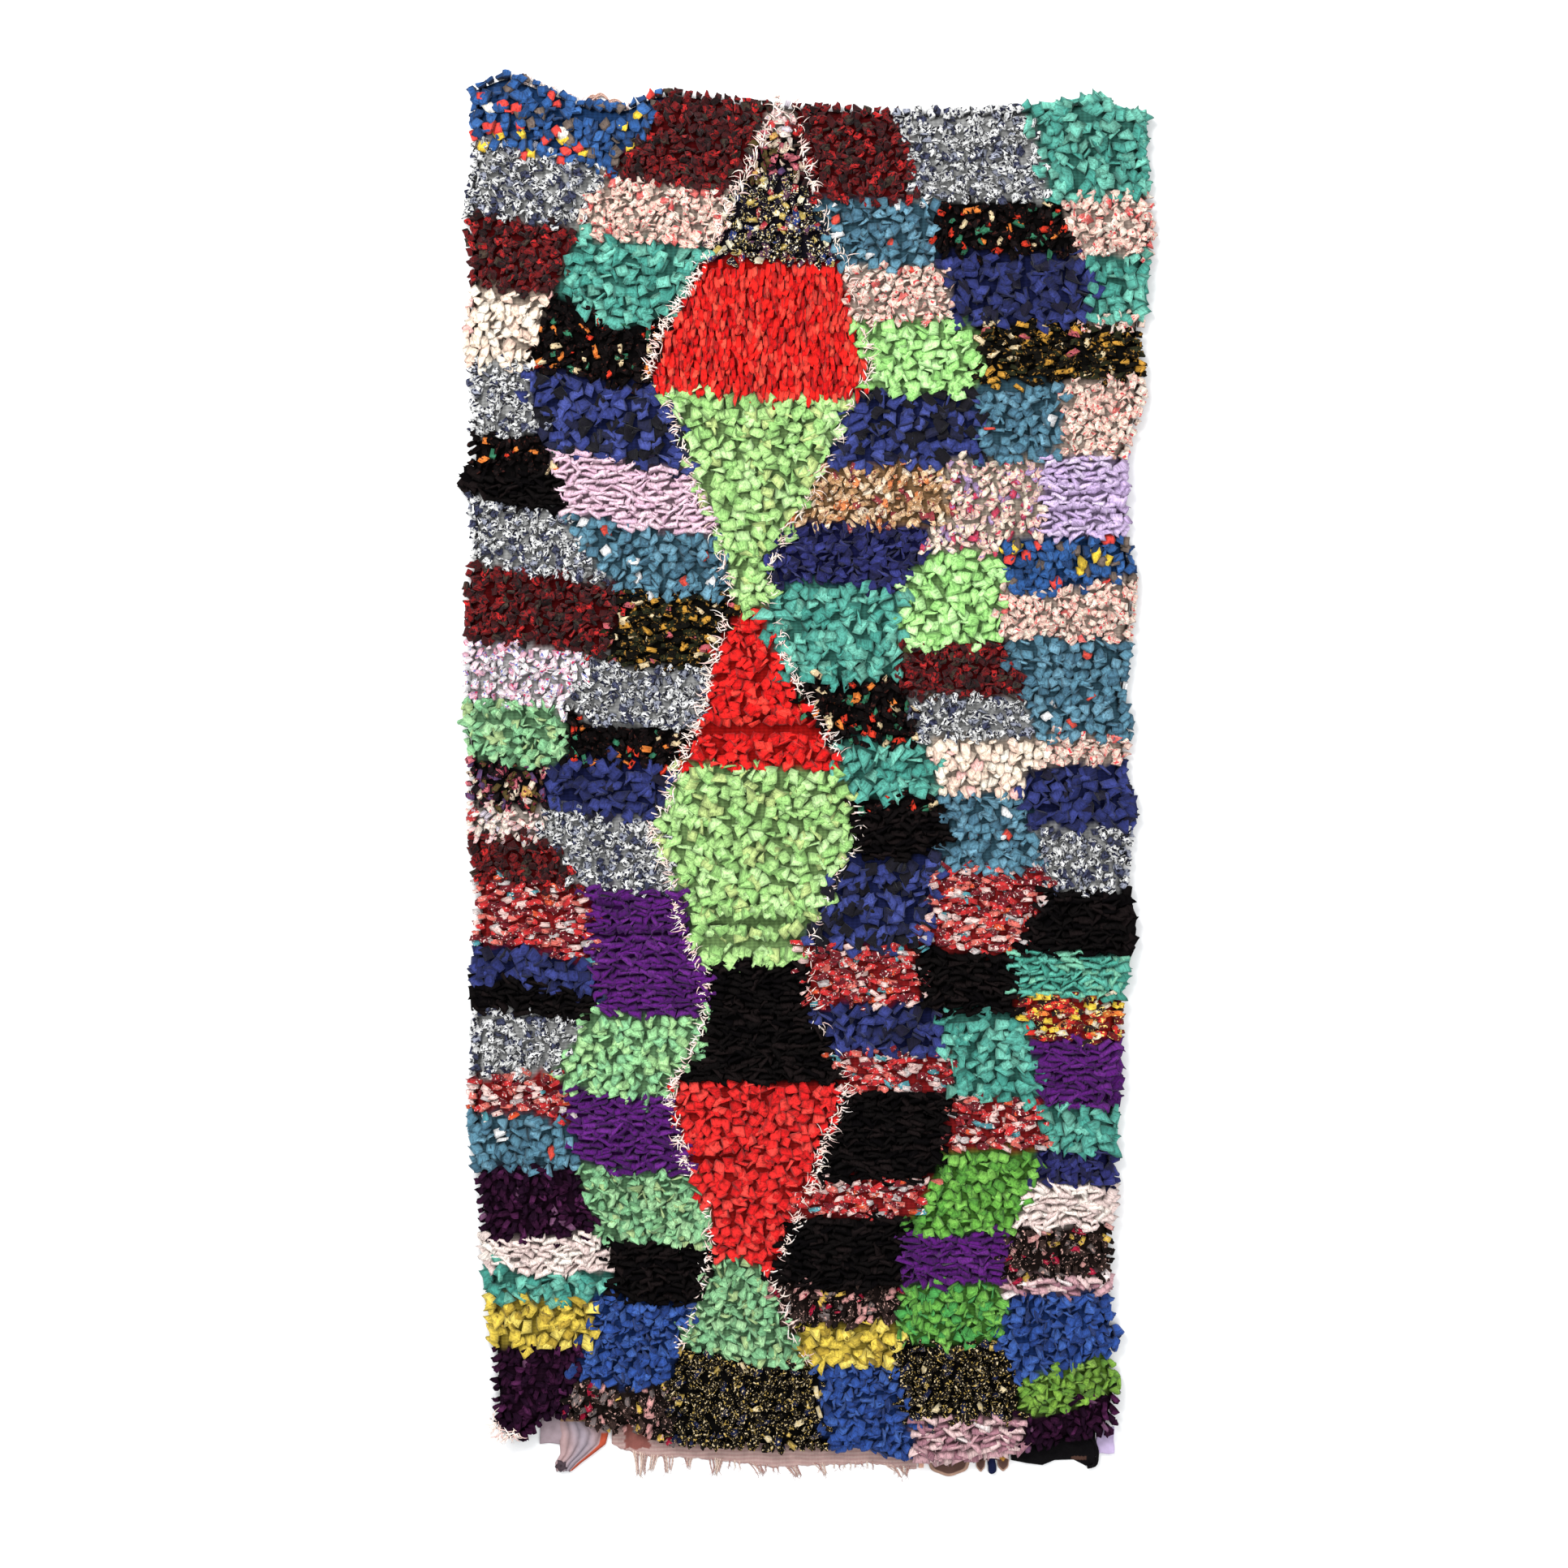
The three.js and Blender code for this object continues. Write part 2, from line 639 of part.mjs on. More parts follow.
// A half-round end of folded cloth, low at its rim and crowned inside.
function halfRound({ x, reachX, reachY, crest }, baseY) {
  const rings = [
    { size: 1.0, height: 2.2 },
    { size: 0.86, height: crest },
    { size: 0.5, height: 0.85 * crest },
    { size: 0.06, height: WEB_THICKNESS },
  ];
  const turns = 10;
  const rows = rings.map((ring) => {
    const line = [];
    for (let k = 0; k <= turns; k += 1) {
      const angle = Math.PI + (Math.PI * k) / turns;
      const px = CM * (x + ring.size * reachX * Math.cos(angle));
      const py = baseY + CM * ring.size * reachY * Math.sin(angle);
      line.push([px, py, ring.height]);
    }
    return line;
  });
  return reliefSolid(rows);
}

// The straight lower edge of the brown rag's backing, clear of the lowest place on the slab.
function brownBaseY() {
  const run = slabEdgeRun(0, CM * BROWN_BACKING.from, CM * BROWN_BACKING.to, -PART_GAP);
  return Math.min(...run.map((p) => p.y)) - BROWN_BACKING.depth;
}

function brownRag() {
  const { from, to } = BROWN_BACKING;
  const upper = slabEdgeRun(0, CM * from, CM * to, -PART_GAP);
  const lower = [{ x: CM * to, y: brownBaseY() }, { x: CM * from, y: brownBaseY() }];
  const backing = plate([...upper, ...lower], WEB_THICKNESS);
  const lobes = BROWN_LOBES.map((lobe) => halfRound(lobe, brownBaseY() + 1));
  return joinAll([backing, ...lobes]);
}

function navyEnd() {
  const start = brownBaseY() - PART_GAP;
  const { x, halfWidth, low, crest } = NAVY_END;
  const sections = [
    { along: 1.0, swell: 0.5, rise: 0.8 },
    { along: 0.85, swell: 0.95, rise: 1.0 },
    { along: 0.5, swell: 1.0, rise: 1.0 },
    { along: 0.2, swell: 0.9, rise: 0.42 },
    { along: 0.0, swell: 0.7, rise: 0.4 },
  ];
  const sides = [
    { across: -1.0, height: 0.28 },
    { across: -0.45, height: 1.0 },
    { across: 0.45, height: 1.0 },
    { across: 1.0, height: 0.28 },
  ];
  const rows = sections.map((section) => sides.map((side) => [
    CM * (x + side.across * halfWidth * section.swell),
    lerp(start, CM * low, section.along),
    crest * side.height * section.rise,
  ]));
  return reliefSolid(rows);
}

function topLoops() {
  const { from, to, depth } = TOP_BACKING;
  const lower = slabEdgeRun(1, CM * from, CM * to, PART_GAP);
  const upper = [...lower].reverse().map((p) => ({ x: p.x, y: p.y + depth }));
  const backing = plate([...lower, ...upper], WEB_THICKNESS);
  const edgeAt = (x) => readTable(lower, 'x', x, 'y') + depth;
  const steps = 5;
  const arcs = TOP_LOOPS.map((loop) => {
    const parts = [];
    for (let k = 0; k < steps; k += 1) {
      const ends = [k, k + 1].map((n) => {
        const t = n / steps;
        const x = CM * lerp(loop.from, loop.to, t);
        return { x, y: edgeAt(x) - STRAND_ROOT + loop.rise * Math.sin(Math.PI * t) };
      });
      parts.push(strand(ends, STRAND_WIDTH, 1));
    }
    return joinAll(parts);
  });
  return joinAll([backing, ...arcs]);
}

function pileRug() {
  return joinAll([pileSlab(makeRandom(11)), ...rimLocks(makeRandom(23))]);
}

const PIECES = [
  { name: 'pile_rug', color: 0x7a5a5c, make: pileRug },
  { name: 'end_web', color: 0xa98a84, make: () => endWeb(makeRandom(37)) },
  { name: 'grey_rag', color: 0x8d8288, make: greyRag },
  { name: 'black_rag', color: 0x0d0b0d, make: blackRag },
  { name: 'lilac_tab', color: 0xc9b4d6, make: lilacTab },
  { name: 'brown_rag', color: 0x71514a, make: brownRag },
  { name: 'navy_end', color: 0x11173a, make: navyEnd },
  { name: 'top_loops', color: 0xb98f84, make: topLoops },
];

const group = new THREE.Group();
for (const piece of PIECES) {
  const material = new THREE.MeshStandardMaterial({ color: piece.color, roughness: 0.9, metalness: 0 });
  const mesh = new THREE.Mesh(toGeometry(piece.make()), material);
  mesh.name = piece.name;
  group.add(mesh);
}

export default group;
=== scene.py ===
import math
from collections import namedtuple
import bpy
import numpy as np
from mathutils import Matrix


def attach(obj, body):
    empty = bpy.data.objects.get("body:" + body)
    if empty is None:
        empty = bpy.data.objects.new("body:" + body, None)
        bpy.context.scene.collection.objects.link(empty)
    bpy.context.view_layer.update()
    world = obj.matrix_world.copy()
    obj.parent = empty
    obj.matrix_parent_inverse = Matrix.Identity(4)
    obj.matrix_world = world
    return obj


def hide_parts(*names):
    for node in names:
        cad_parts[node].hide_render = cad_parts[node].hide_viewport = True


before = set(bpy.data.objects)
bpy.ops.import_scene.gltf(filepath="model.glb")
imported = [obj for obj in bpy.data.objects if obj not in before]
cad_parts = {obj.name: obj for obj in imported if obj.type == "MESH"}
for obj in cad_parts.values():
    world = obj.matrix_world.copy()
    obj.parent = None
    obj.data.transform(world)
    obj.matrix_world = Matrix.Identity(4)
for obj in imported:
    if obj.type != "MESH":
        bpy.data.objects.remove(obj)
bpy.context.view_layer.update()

# A boucherouite rug on a pale floor, seen from straight above.
# Metres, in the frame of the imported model: +X across the rug, +Y up it, Z = 0 the floor.
# The charts and tables give places in centimetres, and heights and rag sizes in millimetres.

CM = 0.01
MM = 0.001
CM_MM = np.array([CM, CM, MM])
UP = np.array([0.0, 0.0, 1.0])
SEED = 41

# The stage, in metres
PHOTO_CENTRE = (-0.0312, -0.0208)
PHOTO_SIDE = 2.512
PILE_TOP = 0.02
CAMERA_HEIGHT = 5.0
SENSOR = 36.0
FLOOR_REACH = 14.0
# Each light's name, place, side and power
LIGHTS = [("window", (-2.6, 3.4, 3.6), 2.6, 330), ("room", (2.8, -1.6, 4.2), 3.0, 90)]

# The pile and its bed: heights in millimetres, the rest in centimetres
PILE_HEIGHT = 22.5
BED_DROP = 5.2
WEAVE_THICKNESS = 3.6
ROOT_HEIGHT = 2.0
BED_INSET = 0.95
BED_GRID = (80, 162)
KNOT_ROW = 1.9
KNOT_WIDTH = 1.5
FURROW_REACH = 0.8
FURROW_LEAN_REACH = 1.5

# The rim: its rags stand in two rows this deep in, and the rags near it fade to lying ones.
RIM_BAND = 1.8
RIM_PITCH = 0.80
RIM_ROWS = (0.85, 1.6)
RIM_START = 0.8
RIM_FADE = 1.7
RIM_CREST = 0.55
RIM_HEIGHT_SHARE = 0.74

# The loose pieces: heights in millimetres, the rest in centimetres
FLOOR_GAP = 0.15
TUCK = 0.9
WEB_RIB = 0.32
CORD_ROOT = 0.35
BROWN_FOLD = -110.6
FRAY_DENSITY = 1.3

# The outline of the pile, by the tips of its rags
LEFT_EDGE = [
    (110, -53.5), (100, -53.0), (90, -54.5), (77, -53.5), (70, -54.5), (60, -53.5),
    (50, -53.5), (46, -55.3), (45, -54.0), (35, -53.0), (30, -54.5), (20, -54.3),
    (9, -54.6), (0, -53.8), (-10, -54.0), (-20, -52.7), (-40, -53.3), (-55, -53.8),
    (-70, -52.3), (-80, -51.2), (-90, -50.3), (-98, -49.8), (-106, -49.5),
]
RIGHT_EDGE = [
    (110, 54.6), (100, 54.8), (93, 55.5), (86, 56.5), (80, 55.2), (70, 54.3), (60, 55.0),
    (50, 51.9), (38, 51.8), (31, 53.8), (20, 52.6), (12, 51.6), (8, 53.0), (0, 51.6),
    (-5, 53.3), (-18, 52.2), (-26, 53.2), (-36, 51.2), (-50, 50.9), (-56, 50.4),
    (-70, 49.9), (-80, 49.4), (-88, 49.5), (-91, 51.2), (-94, 49.4), (-98, 51.0),
    (-106, 49.0),
]
TOP_EDGE = [
    (-53.5, 110.0), (-47.5, 112.3), (-42, 110.3), (-36, 107.8), (-28.5, 107.0),
    (-24, 109.2), (-20, 109.4), (-10, 108.0), (0, 107.2), (10, 106.6), (20, 106.3),
    (30, 106.6), (40, 107.3), (48, 108.6), (50, 106.6), (55, 105.6),
]
LOWER_EDGE = [
    (-49.5, -104.0), (-47, -107.0), (-44, -107.6), (-42, -104.6), (-38, -103.6),
    (-34.5, -104.8), (-31, -106.4), (-28, -105.8), (-25, -107.0), (-22, -108.0),
    (-16, -108.6), (-10, -108.7), (-5, -109.1), (0, -109.0), (5, -108.7), (11, -109.1),
    (14, -110.1), (22, -110.9), (27, -110.5), (33, -109.5), (38, -108.7), (44, -107.4),
    (50, -106.3),
]

# Where the pile parts between two rows: y, from x, to x, depth in millimetres.
FURROWS = [
    (8.2, -15, 2, 6), (6.4, -16, 3, 6), (-24.6, -18, 1, 8), (-27.2, -16, 0, 5),
    (-61.5, -18, -11, 5), (-21.5, -35, -27, 5), (-26.5, -34, -22, 5), (8.5, -52, -39, 4),
    (41.3, 39, 51, 4), (44.2, 39, 51, 4),
]

# The charts of the patches: each is a cloth and the corners of its outline as x,y.
# The outer column at the left, from the top down
LEFT_OUTER_CHART = """
cobalt -60,116 -22.5,116 -22.5,109 -24.5,104 -28,100 -31.5,96.5 -42,99.5 -53,101.5 -60,101.5
marble -60,101.5 -53,101.5 -42,99.5 -31.5,96.5 -35,91 -37,87 -54,89.5 -60,89.5
maroon -60,89.5 -54,89.5 -37,87 -38.5,79 -40,77 -45,76.5 -54,78 -60,78
peach -60,78 -54,78 -45,76.5 -41,77 -42,72 -44.5,66 -60,65.5
marble -60,65.5 -45,65.5 -42.5,55 -41,54 -60,54
coal -60,54 -41,54 -39.5,48 -60,48
black -60,48 -39.5,48 -38.5,43 -43,41.5 -54,45 -60,45.5
marble -60,45.5 -54,45 -43,41.5 -38,41 -33,33 -31,30 -44,32 -53,33.5 -60,33.5
maroon -60,33.5 -53,33.5 -44,32 -31,30 -29.5,28 -30,24.5 -32,21 -31,18.5 -40,20 -50,20.8 -60,22
blossom -60,22 -50,20.8 -40,20 -35,19.3 -36.5,13 -39,9.5 -42,10.5 -45,11.7 -51,11 -60,12.5
leaf_mint -60,12.5 -51,11 -45,11.7 -42,10.5 -39,9.5 -38,8 -38,3 -41,0.7 -45,1.2 -51,2.3 -60,3
meadow -60,3 -51,2.3 -45,1.2 -41,0.7 -42,-2 -42,-5.5 -50,-5.5 -60,-5
cream -60,-5 -50,-5.5 -42,-5.5 -42.5,-10.5 -48,-10 -60,-9.8
maroon -60,-9.8 -48,-10 -42.5,-10.5 -39,-12 -38,-15 -35.5,-19 -40,-19 -50,-17 -60,-16
poppy -60,-16 -50,-17 -40,-19 -35.5,-19.3 -34.5,-22 -34,-31 -40,-29 -45,-28 -60,-27.5
navy -60,-27.5 -45,-28 -40,-29 -34,-31 -33,-36 -40,-34 -45,-32.5 -51,-33.5 -60,-32
black -60,-32 -51,-33.5 -45,-32.5 -40,-34 -33,-36 -34.5,-40.5 -40,-39 -50,-38 -60,-37.5
marble -60,-37.5 -50,-38 -40,-39 -36,-40.5 -36.5,-43 -40.5,-48 -48,-49 -60,-48.5
poppy -60,-48.5 -48,-49 -40.5,-48 -39.5,-50.5 -37,-56.5 -45,-54.5 -60,-54
slate -60,-54 -45,-54.5 -37,-56.5 -37,-60 -36,-63.5 -44,-63 -60,-63
aubergine -60,-63 -44,-63 -36,-63.5 -34.5,-68 -33,-72 -34,-74 -45,-75 -60,-73.5
blush -60,-73.5 -45,-75 -34,-74 -32,-77 -30.5,-80 -40,-79.5 -43,-81 -46,-79.5 -60,-78
teal -60,-78 -46,-79.5 -43,-81 -37,-80 -30.8,-80 -31,-83 -33.5,-83.5 -42,-85 -45,-84 -60,-82.5
yellow -60,-82.5 -45,-84 -42,-85 -33.5,-84 -34,-86 -35.5,-92 -40,-91 -45,-92 -60,-91.5
aubergine -60,-91.5 -45,-92 -40,-91 -35.5,-92 -37,-97 -38,-103 -38,-116 -60,-116
"""
# The inner column at the left
LEFT_INNER_CHART = """
maroon -22.5,116 -4,116 -3.5,107.5 -8,101 -9,95 -13,93 -25,94.5 -31,96 -28,100 -24.5,104 -22.5,109
petal -31,96 -25,94.5 -13,93 -12,90 -14.5,84 -26,85 -33,85.5 -36,87 -35,91
teal -37,87 -33,85.5 -26,85 -15.5,84 -16,82.5 -19,76 -22,73 -28,71.5 -31,73 -38,75.5 -39.5,77 -37.5,85
coal -40,77 -38,75.5 -31,73 -28,71.5 -22,73 -23,70 -24,62 -28,62 -43,64.5 -44.5,66 -42,72
indigo -43,64.5 -28,62 -23,62 -20,56 -19,48.5 -24,49 -32,50.5 -41,52 -42.5,55 -45,64
rose -41,52 -32,50.5 -24,49 -18.5,48.5 -16.5,44 -14,38 -30,39.5 -32,41 -38,41.5 -39.5,48
slate -38,41.5 -32,41 -30,39.5 -14,38 -11.5,31 -11.5,28 -20,28 -25,28.5 -29,29.5 -33,33 -36,38
thicket -29,29.5 -25,28.5 -10.5,28 -11,25.5 -12.5,22 -15.5,16.3 -25,16.3 -29,17 -31,18.5 -32,21 -30,24.5
marble -31,18 -29,17 -25,16.3 -15,16.3 -16.5,11 -17,6.5 -30,7.5 -34,7 -37,10 -38,11.5 -35.5,16 -35,19
coal -38,9 -37,10 -34,7 -30,7.5 -17,6.5 -19,3 -20.5,1 -33,2 -38,2.3
navy -38,2.3 -33,2 -28,1.5 -20.5,1 -22,-2 -22,-5 -24,-6.5 -27,-7.8 -35,-6.5 -41,-5 -41.5,-2 -40.5,2
marble -42,-5.5 -35,-6.5 -27,-7.8 -23.5,-7 -24,-10 -22,-12.5 -20.5,-19 -27,-19.5 -30,-18.5 -35,-18.5
  -37.5,-17 -39,-12.5 -42,-11
purple -35,-18.5 -30,-18.5 -27,-19.5 -20,-19 -18.5,-24.5 -18.5,-28 -16,-31 -15.3,-38 -21,-39.5 -26,-38.5
  -34,-38 -32.5,-34 -34,-30 -34.5,-22
ridge_mint -34.5,-38 -26,-38.5 -21,-39.5 -15.5,-38 -16,-43 -17.5,-46 -20,-48.5 -21.5,-52 -24,-52 -28,-52.7
  -36,-51 -40,-49.5 -39,-46 -36,-43
purple -39,-50 -36,-51 -28,-52.7 -21.3,-52 -20.5,-57 -18,-62 -17,-64.5 -24,-63.5 -28,-64.3 -35.5,-62.5
  -37,-56
leaf_mint -36,-63 -35.5,-62.5 -28,-64.3 -24,-63.5 -17,-64.5 -17.3,-68 -15,-70 -14.5,-76 -22,-76 -26,-75
  -33,-75 -34.5,-69
black -33,-75 -26,-75 -22,-76 -14.5,-76 -14,-80 -16,-82 -17.3,-86 -22,-84.8 -31,-84 -30.5,-79 -32,-77
royal -34,-84 -31,-84 -22,-84.8 -17.5,-86 -20,-88.5 -21.5,-96 -24,-98.3 -29,-98.5 -34,-97 -37,-97
  -35.5,-92 -34,-86
walnut -37,-97 -34,-97 -29,-98.5 -24,-98.3 -21.5,-97 -21,-104 -22,-116 -38,-116 -38,-103
"""
# The chain of shapes down the middle
MIDDLE_CHART = """
cream -4.5,112 -1.5,112 -1,102 -7,102
meadow -7,102 -1,102 0,96 -9,96
bramble -9,96 0,96 2,90 4,86 6.5,81.8 -15,82 -12,90
scarlet -16,82.3 5.5,81.8 7.5,75 8.5,70 10,65 10,61.5 4,61 -2,60 -6,60 -10,61 -24,62.5 -24,65 -22,70
  -19,75
mint -22,62 -10,61 -4,60 4,61 7.5,61 6,55 3,50 1.5,45 -2,40 -5.5,35 -5.5,30 -6,27 -8,25.5 -10,25.5 -11,27
  -11.3,30 -13,35 -13.5,40 -16.5,45 -18.5,50 -19,55 -21,60
crimson -7,26.5 -5.5,26 -5.8,22 -3.5,19 -3,13.5 0,11.5 1.5,7.5 4,5 6,1 -19,1.3 -19,3 -16.5,6 -16,9
  -15.5,13 -14,16.5 -12.5,20 -12,24 -9.5,25.5
mint -20,1.2 6.3,0.8 6.7,-3 8,-5 8.5,-11 8,-13 6,-13.5 4.5,-18 3,-21 0.5,-25 -0.5,-28 0,-30 -5,-31.5
  -8,-30 -12,-30 -15,-31 -16,-30 -18.3,-26 -19.5,-19 -23,-11 -24,-9 -22,-7 -21.5,-2
black -15,-31 -12,-30 -8,-30 -5,-31.5 0,-30 0.5,-35 1,-39 4,-42 5,-48 6.5,-49.8 -20.5,-49.3 -16.5,-45
  -15.5,-38 -14.5,-34
brick -21,-49.3 6.5,-49.8 6,-54 3,-57 2,-60 2.5,-63 0,-65 -1.5,-70 -4,-76 -4.5,-79.5 -8,-79.3 -13,-77.5
  -14.5,-76 -14.8,-70 -17,-68 -18,-62 -19.5,-60 -20.5,-56 -21,-52
leaf_mint -14.5,-78.5 -11,-78 -6.2,-79.5 -6,-83 -3,-86.5 -2.5,-89 0,-94.5 -5.5,-95.5 -8,-94 -12,-93.5
  -19.5,-92 -19,-89 -17.5,-87 -17,-84 -15,-82
gilt -19.5,-92 -12,-93.5 -8,-94 -5.5,-95.5 0,-94.7 3,-95 3,-104 4.5,-108.5 4.5,-116 -22,-116 -21,-104
  -21.5,-97
"""
# The right side, from the top down
RIGHT_CHART = """
maroon -4,116 15,116 15,106.3 17.5,97 17.5,91.5 1,91.8 -1,100 -2.5,107
marble 15,116 36,116 36,105 38.5,97 38.5,91.5 17.5,91.5 17.5,97 15,106
teal 36,116 62,116 62,93 38.5,92 38.5,97 36,105
slate 1,91.8 21,91.5 21,81 6.5,81.5 4,86 2,90
coal 21,91.5 41.5,91.5 44,83 21,83
petal 41.5,92 62,93 62,82.5 44,82.5
petal 6,81.7 21,81 24,83 24,72.5 8,72.5 7.5,75
navy 21,83 46.5,83 46.5,72 24,72
teal 46.5,82.8 62,82.5 62,73 46.5,73
spring 8,72.5 24,72.5 27.5,72 29.5,66 28,61 10,61.3 10,65
petal 44,73 62,73 62,71 44,71
thicket 27.5,72 44,72 44,71 62,71 62,62.8 41,62.5 28,62
indigo 7.5,61.3 28,61 28,49.5 2.5,49.3 6,55
slate 28,62 41.5,62.5 41,50.5 28,50.3
petal 41.5,62.8 62,62.8 62,50.5 41,50.5
tan 3,49.5 22,49.7 23,45 24,40 -2,39.7 1.5,45
garden 22,50 38.5,50.5 38.5,38 31.5,37.5 31.5,35.5 20,35.8 20,39.5 24,40 23,45
lilac 38.5,50.5 60,50.5 60,38 38.5,38
midnight -2,39.7 20,39.7 20,36 17.5,31.5 14,29 10,30 0,30.5 -5.5,30 -5.5,35
cobalt 31.5,38 60,38 60,31 52,31 45,30 36,28.8 32,30
spring 20,35.7 31.5,35.5 33.5,31 31.5,28 31,25 32,21.5 25,20.5 15,19.5 16,24 15,27 16,29 18,33
teal -5.5,30 0,30.5 10,30 14,29 16,29 15,27 16,24 15,15.5 10,15 3,14.5 -3,16 -3.5,19 -5.8,22 -5.5,26
maroon 15,19.8 25,20.5 32,21.5 32.5,17 35,16 35.3,12.5 30,11.7 25,12.3 17,12 15.5,15
petal 31.5,28.8 36,28.8 45,30 52,31 60,31 60,21.5 32,21.5 31,25
slate 32,21.5 60,21.5 60,5.8 37,6 36,9 35.4,12.5 35,16.3 32.3,18
coal -1.5,14.5 3,14.5 10,15 15.3,15.4 17,12 18,6 18,4.9 4.5,4.8 3,7 0,9.5
marble 17,12.1 25,12.3 30,11.7 35.4,12.5 36,9 37,6 18,5
peach 19,5 36,5.6 40,5.6 38,2 36,0 35,-3 21.5,-3 20.5,2
petal 37,6 60,5.8 60,1.2 37.5,1.2 40,5.5
teal 4,5 18,4.9 19.3,4.8 20.5,2 21.5,-3 7.5,-4.3 6.7,-3 6,1.5
navy 36.5,1 60,1.2 60,-8.8 36.5,-8.9 36,-6 35,-3 36,0
coal 7.5,-4.2 21,-3.5 22,-6.2 8,-6
black 8,-6 22,-6.2 24,-10 22,-12.3 14,-14 8,-13.5 8.5,-11
slate 21,-3.3 34.5,-3 36,-6 37,-9 39,-15.7 25,-15.5 22,-14.5 22,-12.5 24,-10 22,-6
indigo 6,-13.7 14,-14 22,-12.7 22,-17 20.5,-20 20.5,-25 18,-28 0,-28 0.5,-25 3,-21 4.5,-18
poppy 22,-14.7 25,-15.5 39,-15.9 38,-19 38,-23 36,-24 35,-28.3 32,-29 26,-29 18,-27.7 20.5,-24 20.3,-20
  21.7,-18
marble 36.7,-9 60,-8.9 60,-19.4 40,-19.3 39,-15
black 39,-19.4 60,-19.4 60,-29.3 34,-28.7 36,-25 38,-22
poppy 0,-28 18,-28 19,-29 18.3,-33 19.3,-37 1,-37.5 0.3,-33
black 18.5,-28 26,-29 33,-29 34,-32 33,-35 35,-38.7 22,-38.5 19.3,-37 18.3,-33
ridge_teal 33.3,-29 60,-29.3 60,-35.8 33.3,-35.8 34,-32.5
navy 1,-37.7 19,-37 22,-39 22,-43 23,-45.3 4.8,-45 4,-41.5
teal 22,-38.6 34.5,-38.8 36.5,-42 37,-46 38,-52.3 30,-52.8 24,-52 23.5,-49 23,-43
sunset 33.5,-36 60,-36 60,-42.8 37,-42.8 34.5,-38.5
purple 36.7,-43 60,-42.9 60,-53 45,-53.7 38,-52.5 37.3,-47
poppy 4.8,-45.2 23,-45.4 23.7,-51 6.5,-51.2 6.3,-49.5
black 6.5,-51.3 23.5,-51.2 23.5,-58 21,-65.5 2.7,-65.3 2.3,-62 3,-58.5 6,-55
poppy 2,-65.4 20.8,-65.6 18,-71 -1,-71.5 -1.3,-69 0,-66
black -1.5,-71.4 17,-71.5 16,-75 16,-81.6 6,-83 0,-82 -5.5,-81 -4,-76
walnut -5.5,-81.2 0,-82 6,-83 16,-81.7 15,-88 -2.5,-88.5 -3,-86.5 -5,-84
yellow -2.5,-88.5 15,-88.2 15.8,-91 14,-94.9 0.3,-94.7 -1,-91
royal 2.5,-95 15,-95 15.3,-101 17.5,-104 18,-116 4.5,-116 4.5,-108.5 3,-104
poppy 23.6,-52.3 30,-52.8 38.5,-52.8 38,-57 39.5,-58.5 37.2,-60.5 22.7,-60.5 23.6,-57
ridge_grass 22.6,-60.7 37,-60.7 37.3,-63 35.5,-66 35,-70 33.3,-73.2 20,-74.5 16.7,-73.2 19,-68
purple 16.5,-73.5 20,-74.5 33,-73.5 32.3,-77 32,-82 16,-81.8 16,-75
grass 15.7,-82 32,-82 32.5,-87 30.7,-91 20,-91.5 15.5,-90.5 15.3,-88
gilt 15.7,-91 20,-91.5 30.7,-91 33,-95 34.6,-98 34.6,-103.7 17,-103.7 15.3,-101 15,-95
mauve 17.3,-103.8 34.6,-103.4 35,-107 34,-116 18,-116
teal 38.7,-53 45,-53.7 60,-53 60,-60 38,-60 39.7,-58.5 38.2,-56.5
midnight 37.3,-60.6 60,-60 60,-66.7 43,-66 36.5,-65.5 37.3,-63
blush 36,-66 43,-66 60,-66.6 60,-71.5 45,-72.5 33.7,-73 35.3,-69.5
walnut 33,-73.2 45,-72.5 60,-71.5 60,-79.8 32,-81.5 32.4,-77
mauve 32,-81.7 60,-79.9 60,-82 45,-83 36,-84 32,-84
royal 32,-84.2 36,-84 45,-83 60,-82 60,-93 49,-93 41,-95.5 35,-97 31.5,-92 31.3,-90 33,-87
moss 35,-97.2 41,-95.5 49,-93 60,-93 60,-99 50.5,-99 46,-99.5 44,-101.5 39,-103 34.7,-102.5
aubergine 34.8,-102.7 39,-103 44,-101.5 46,-99.5 50.5,-99 60,-99 60,-116 35,-116
"""

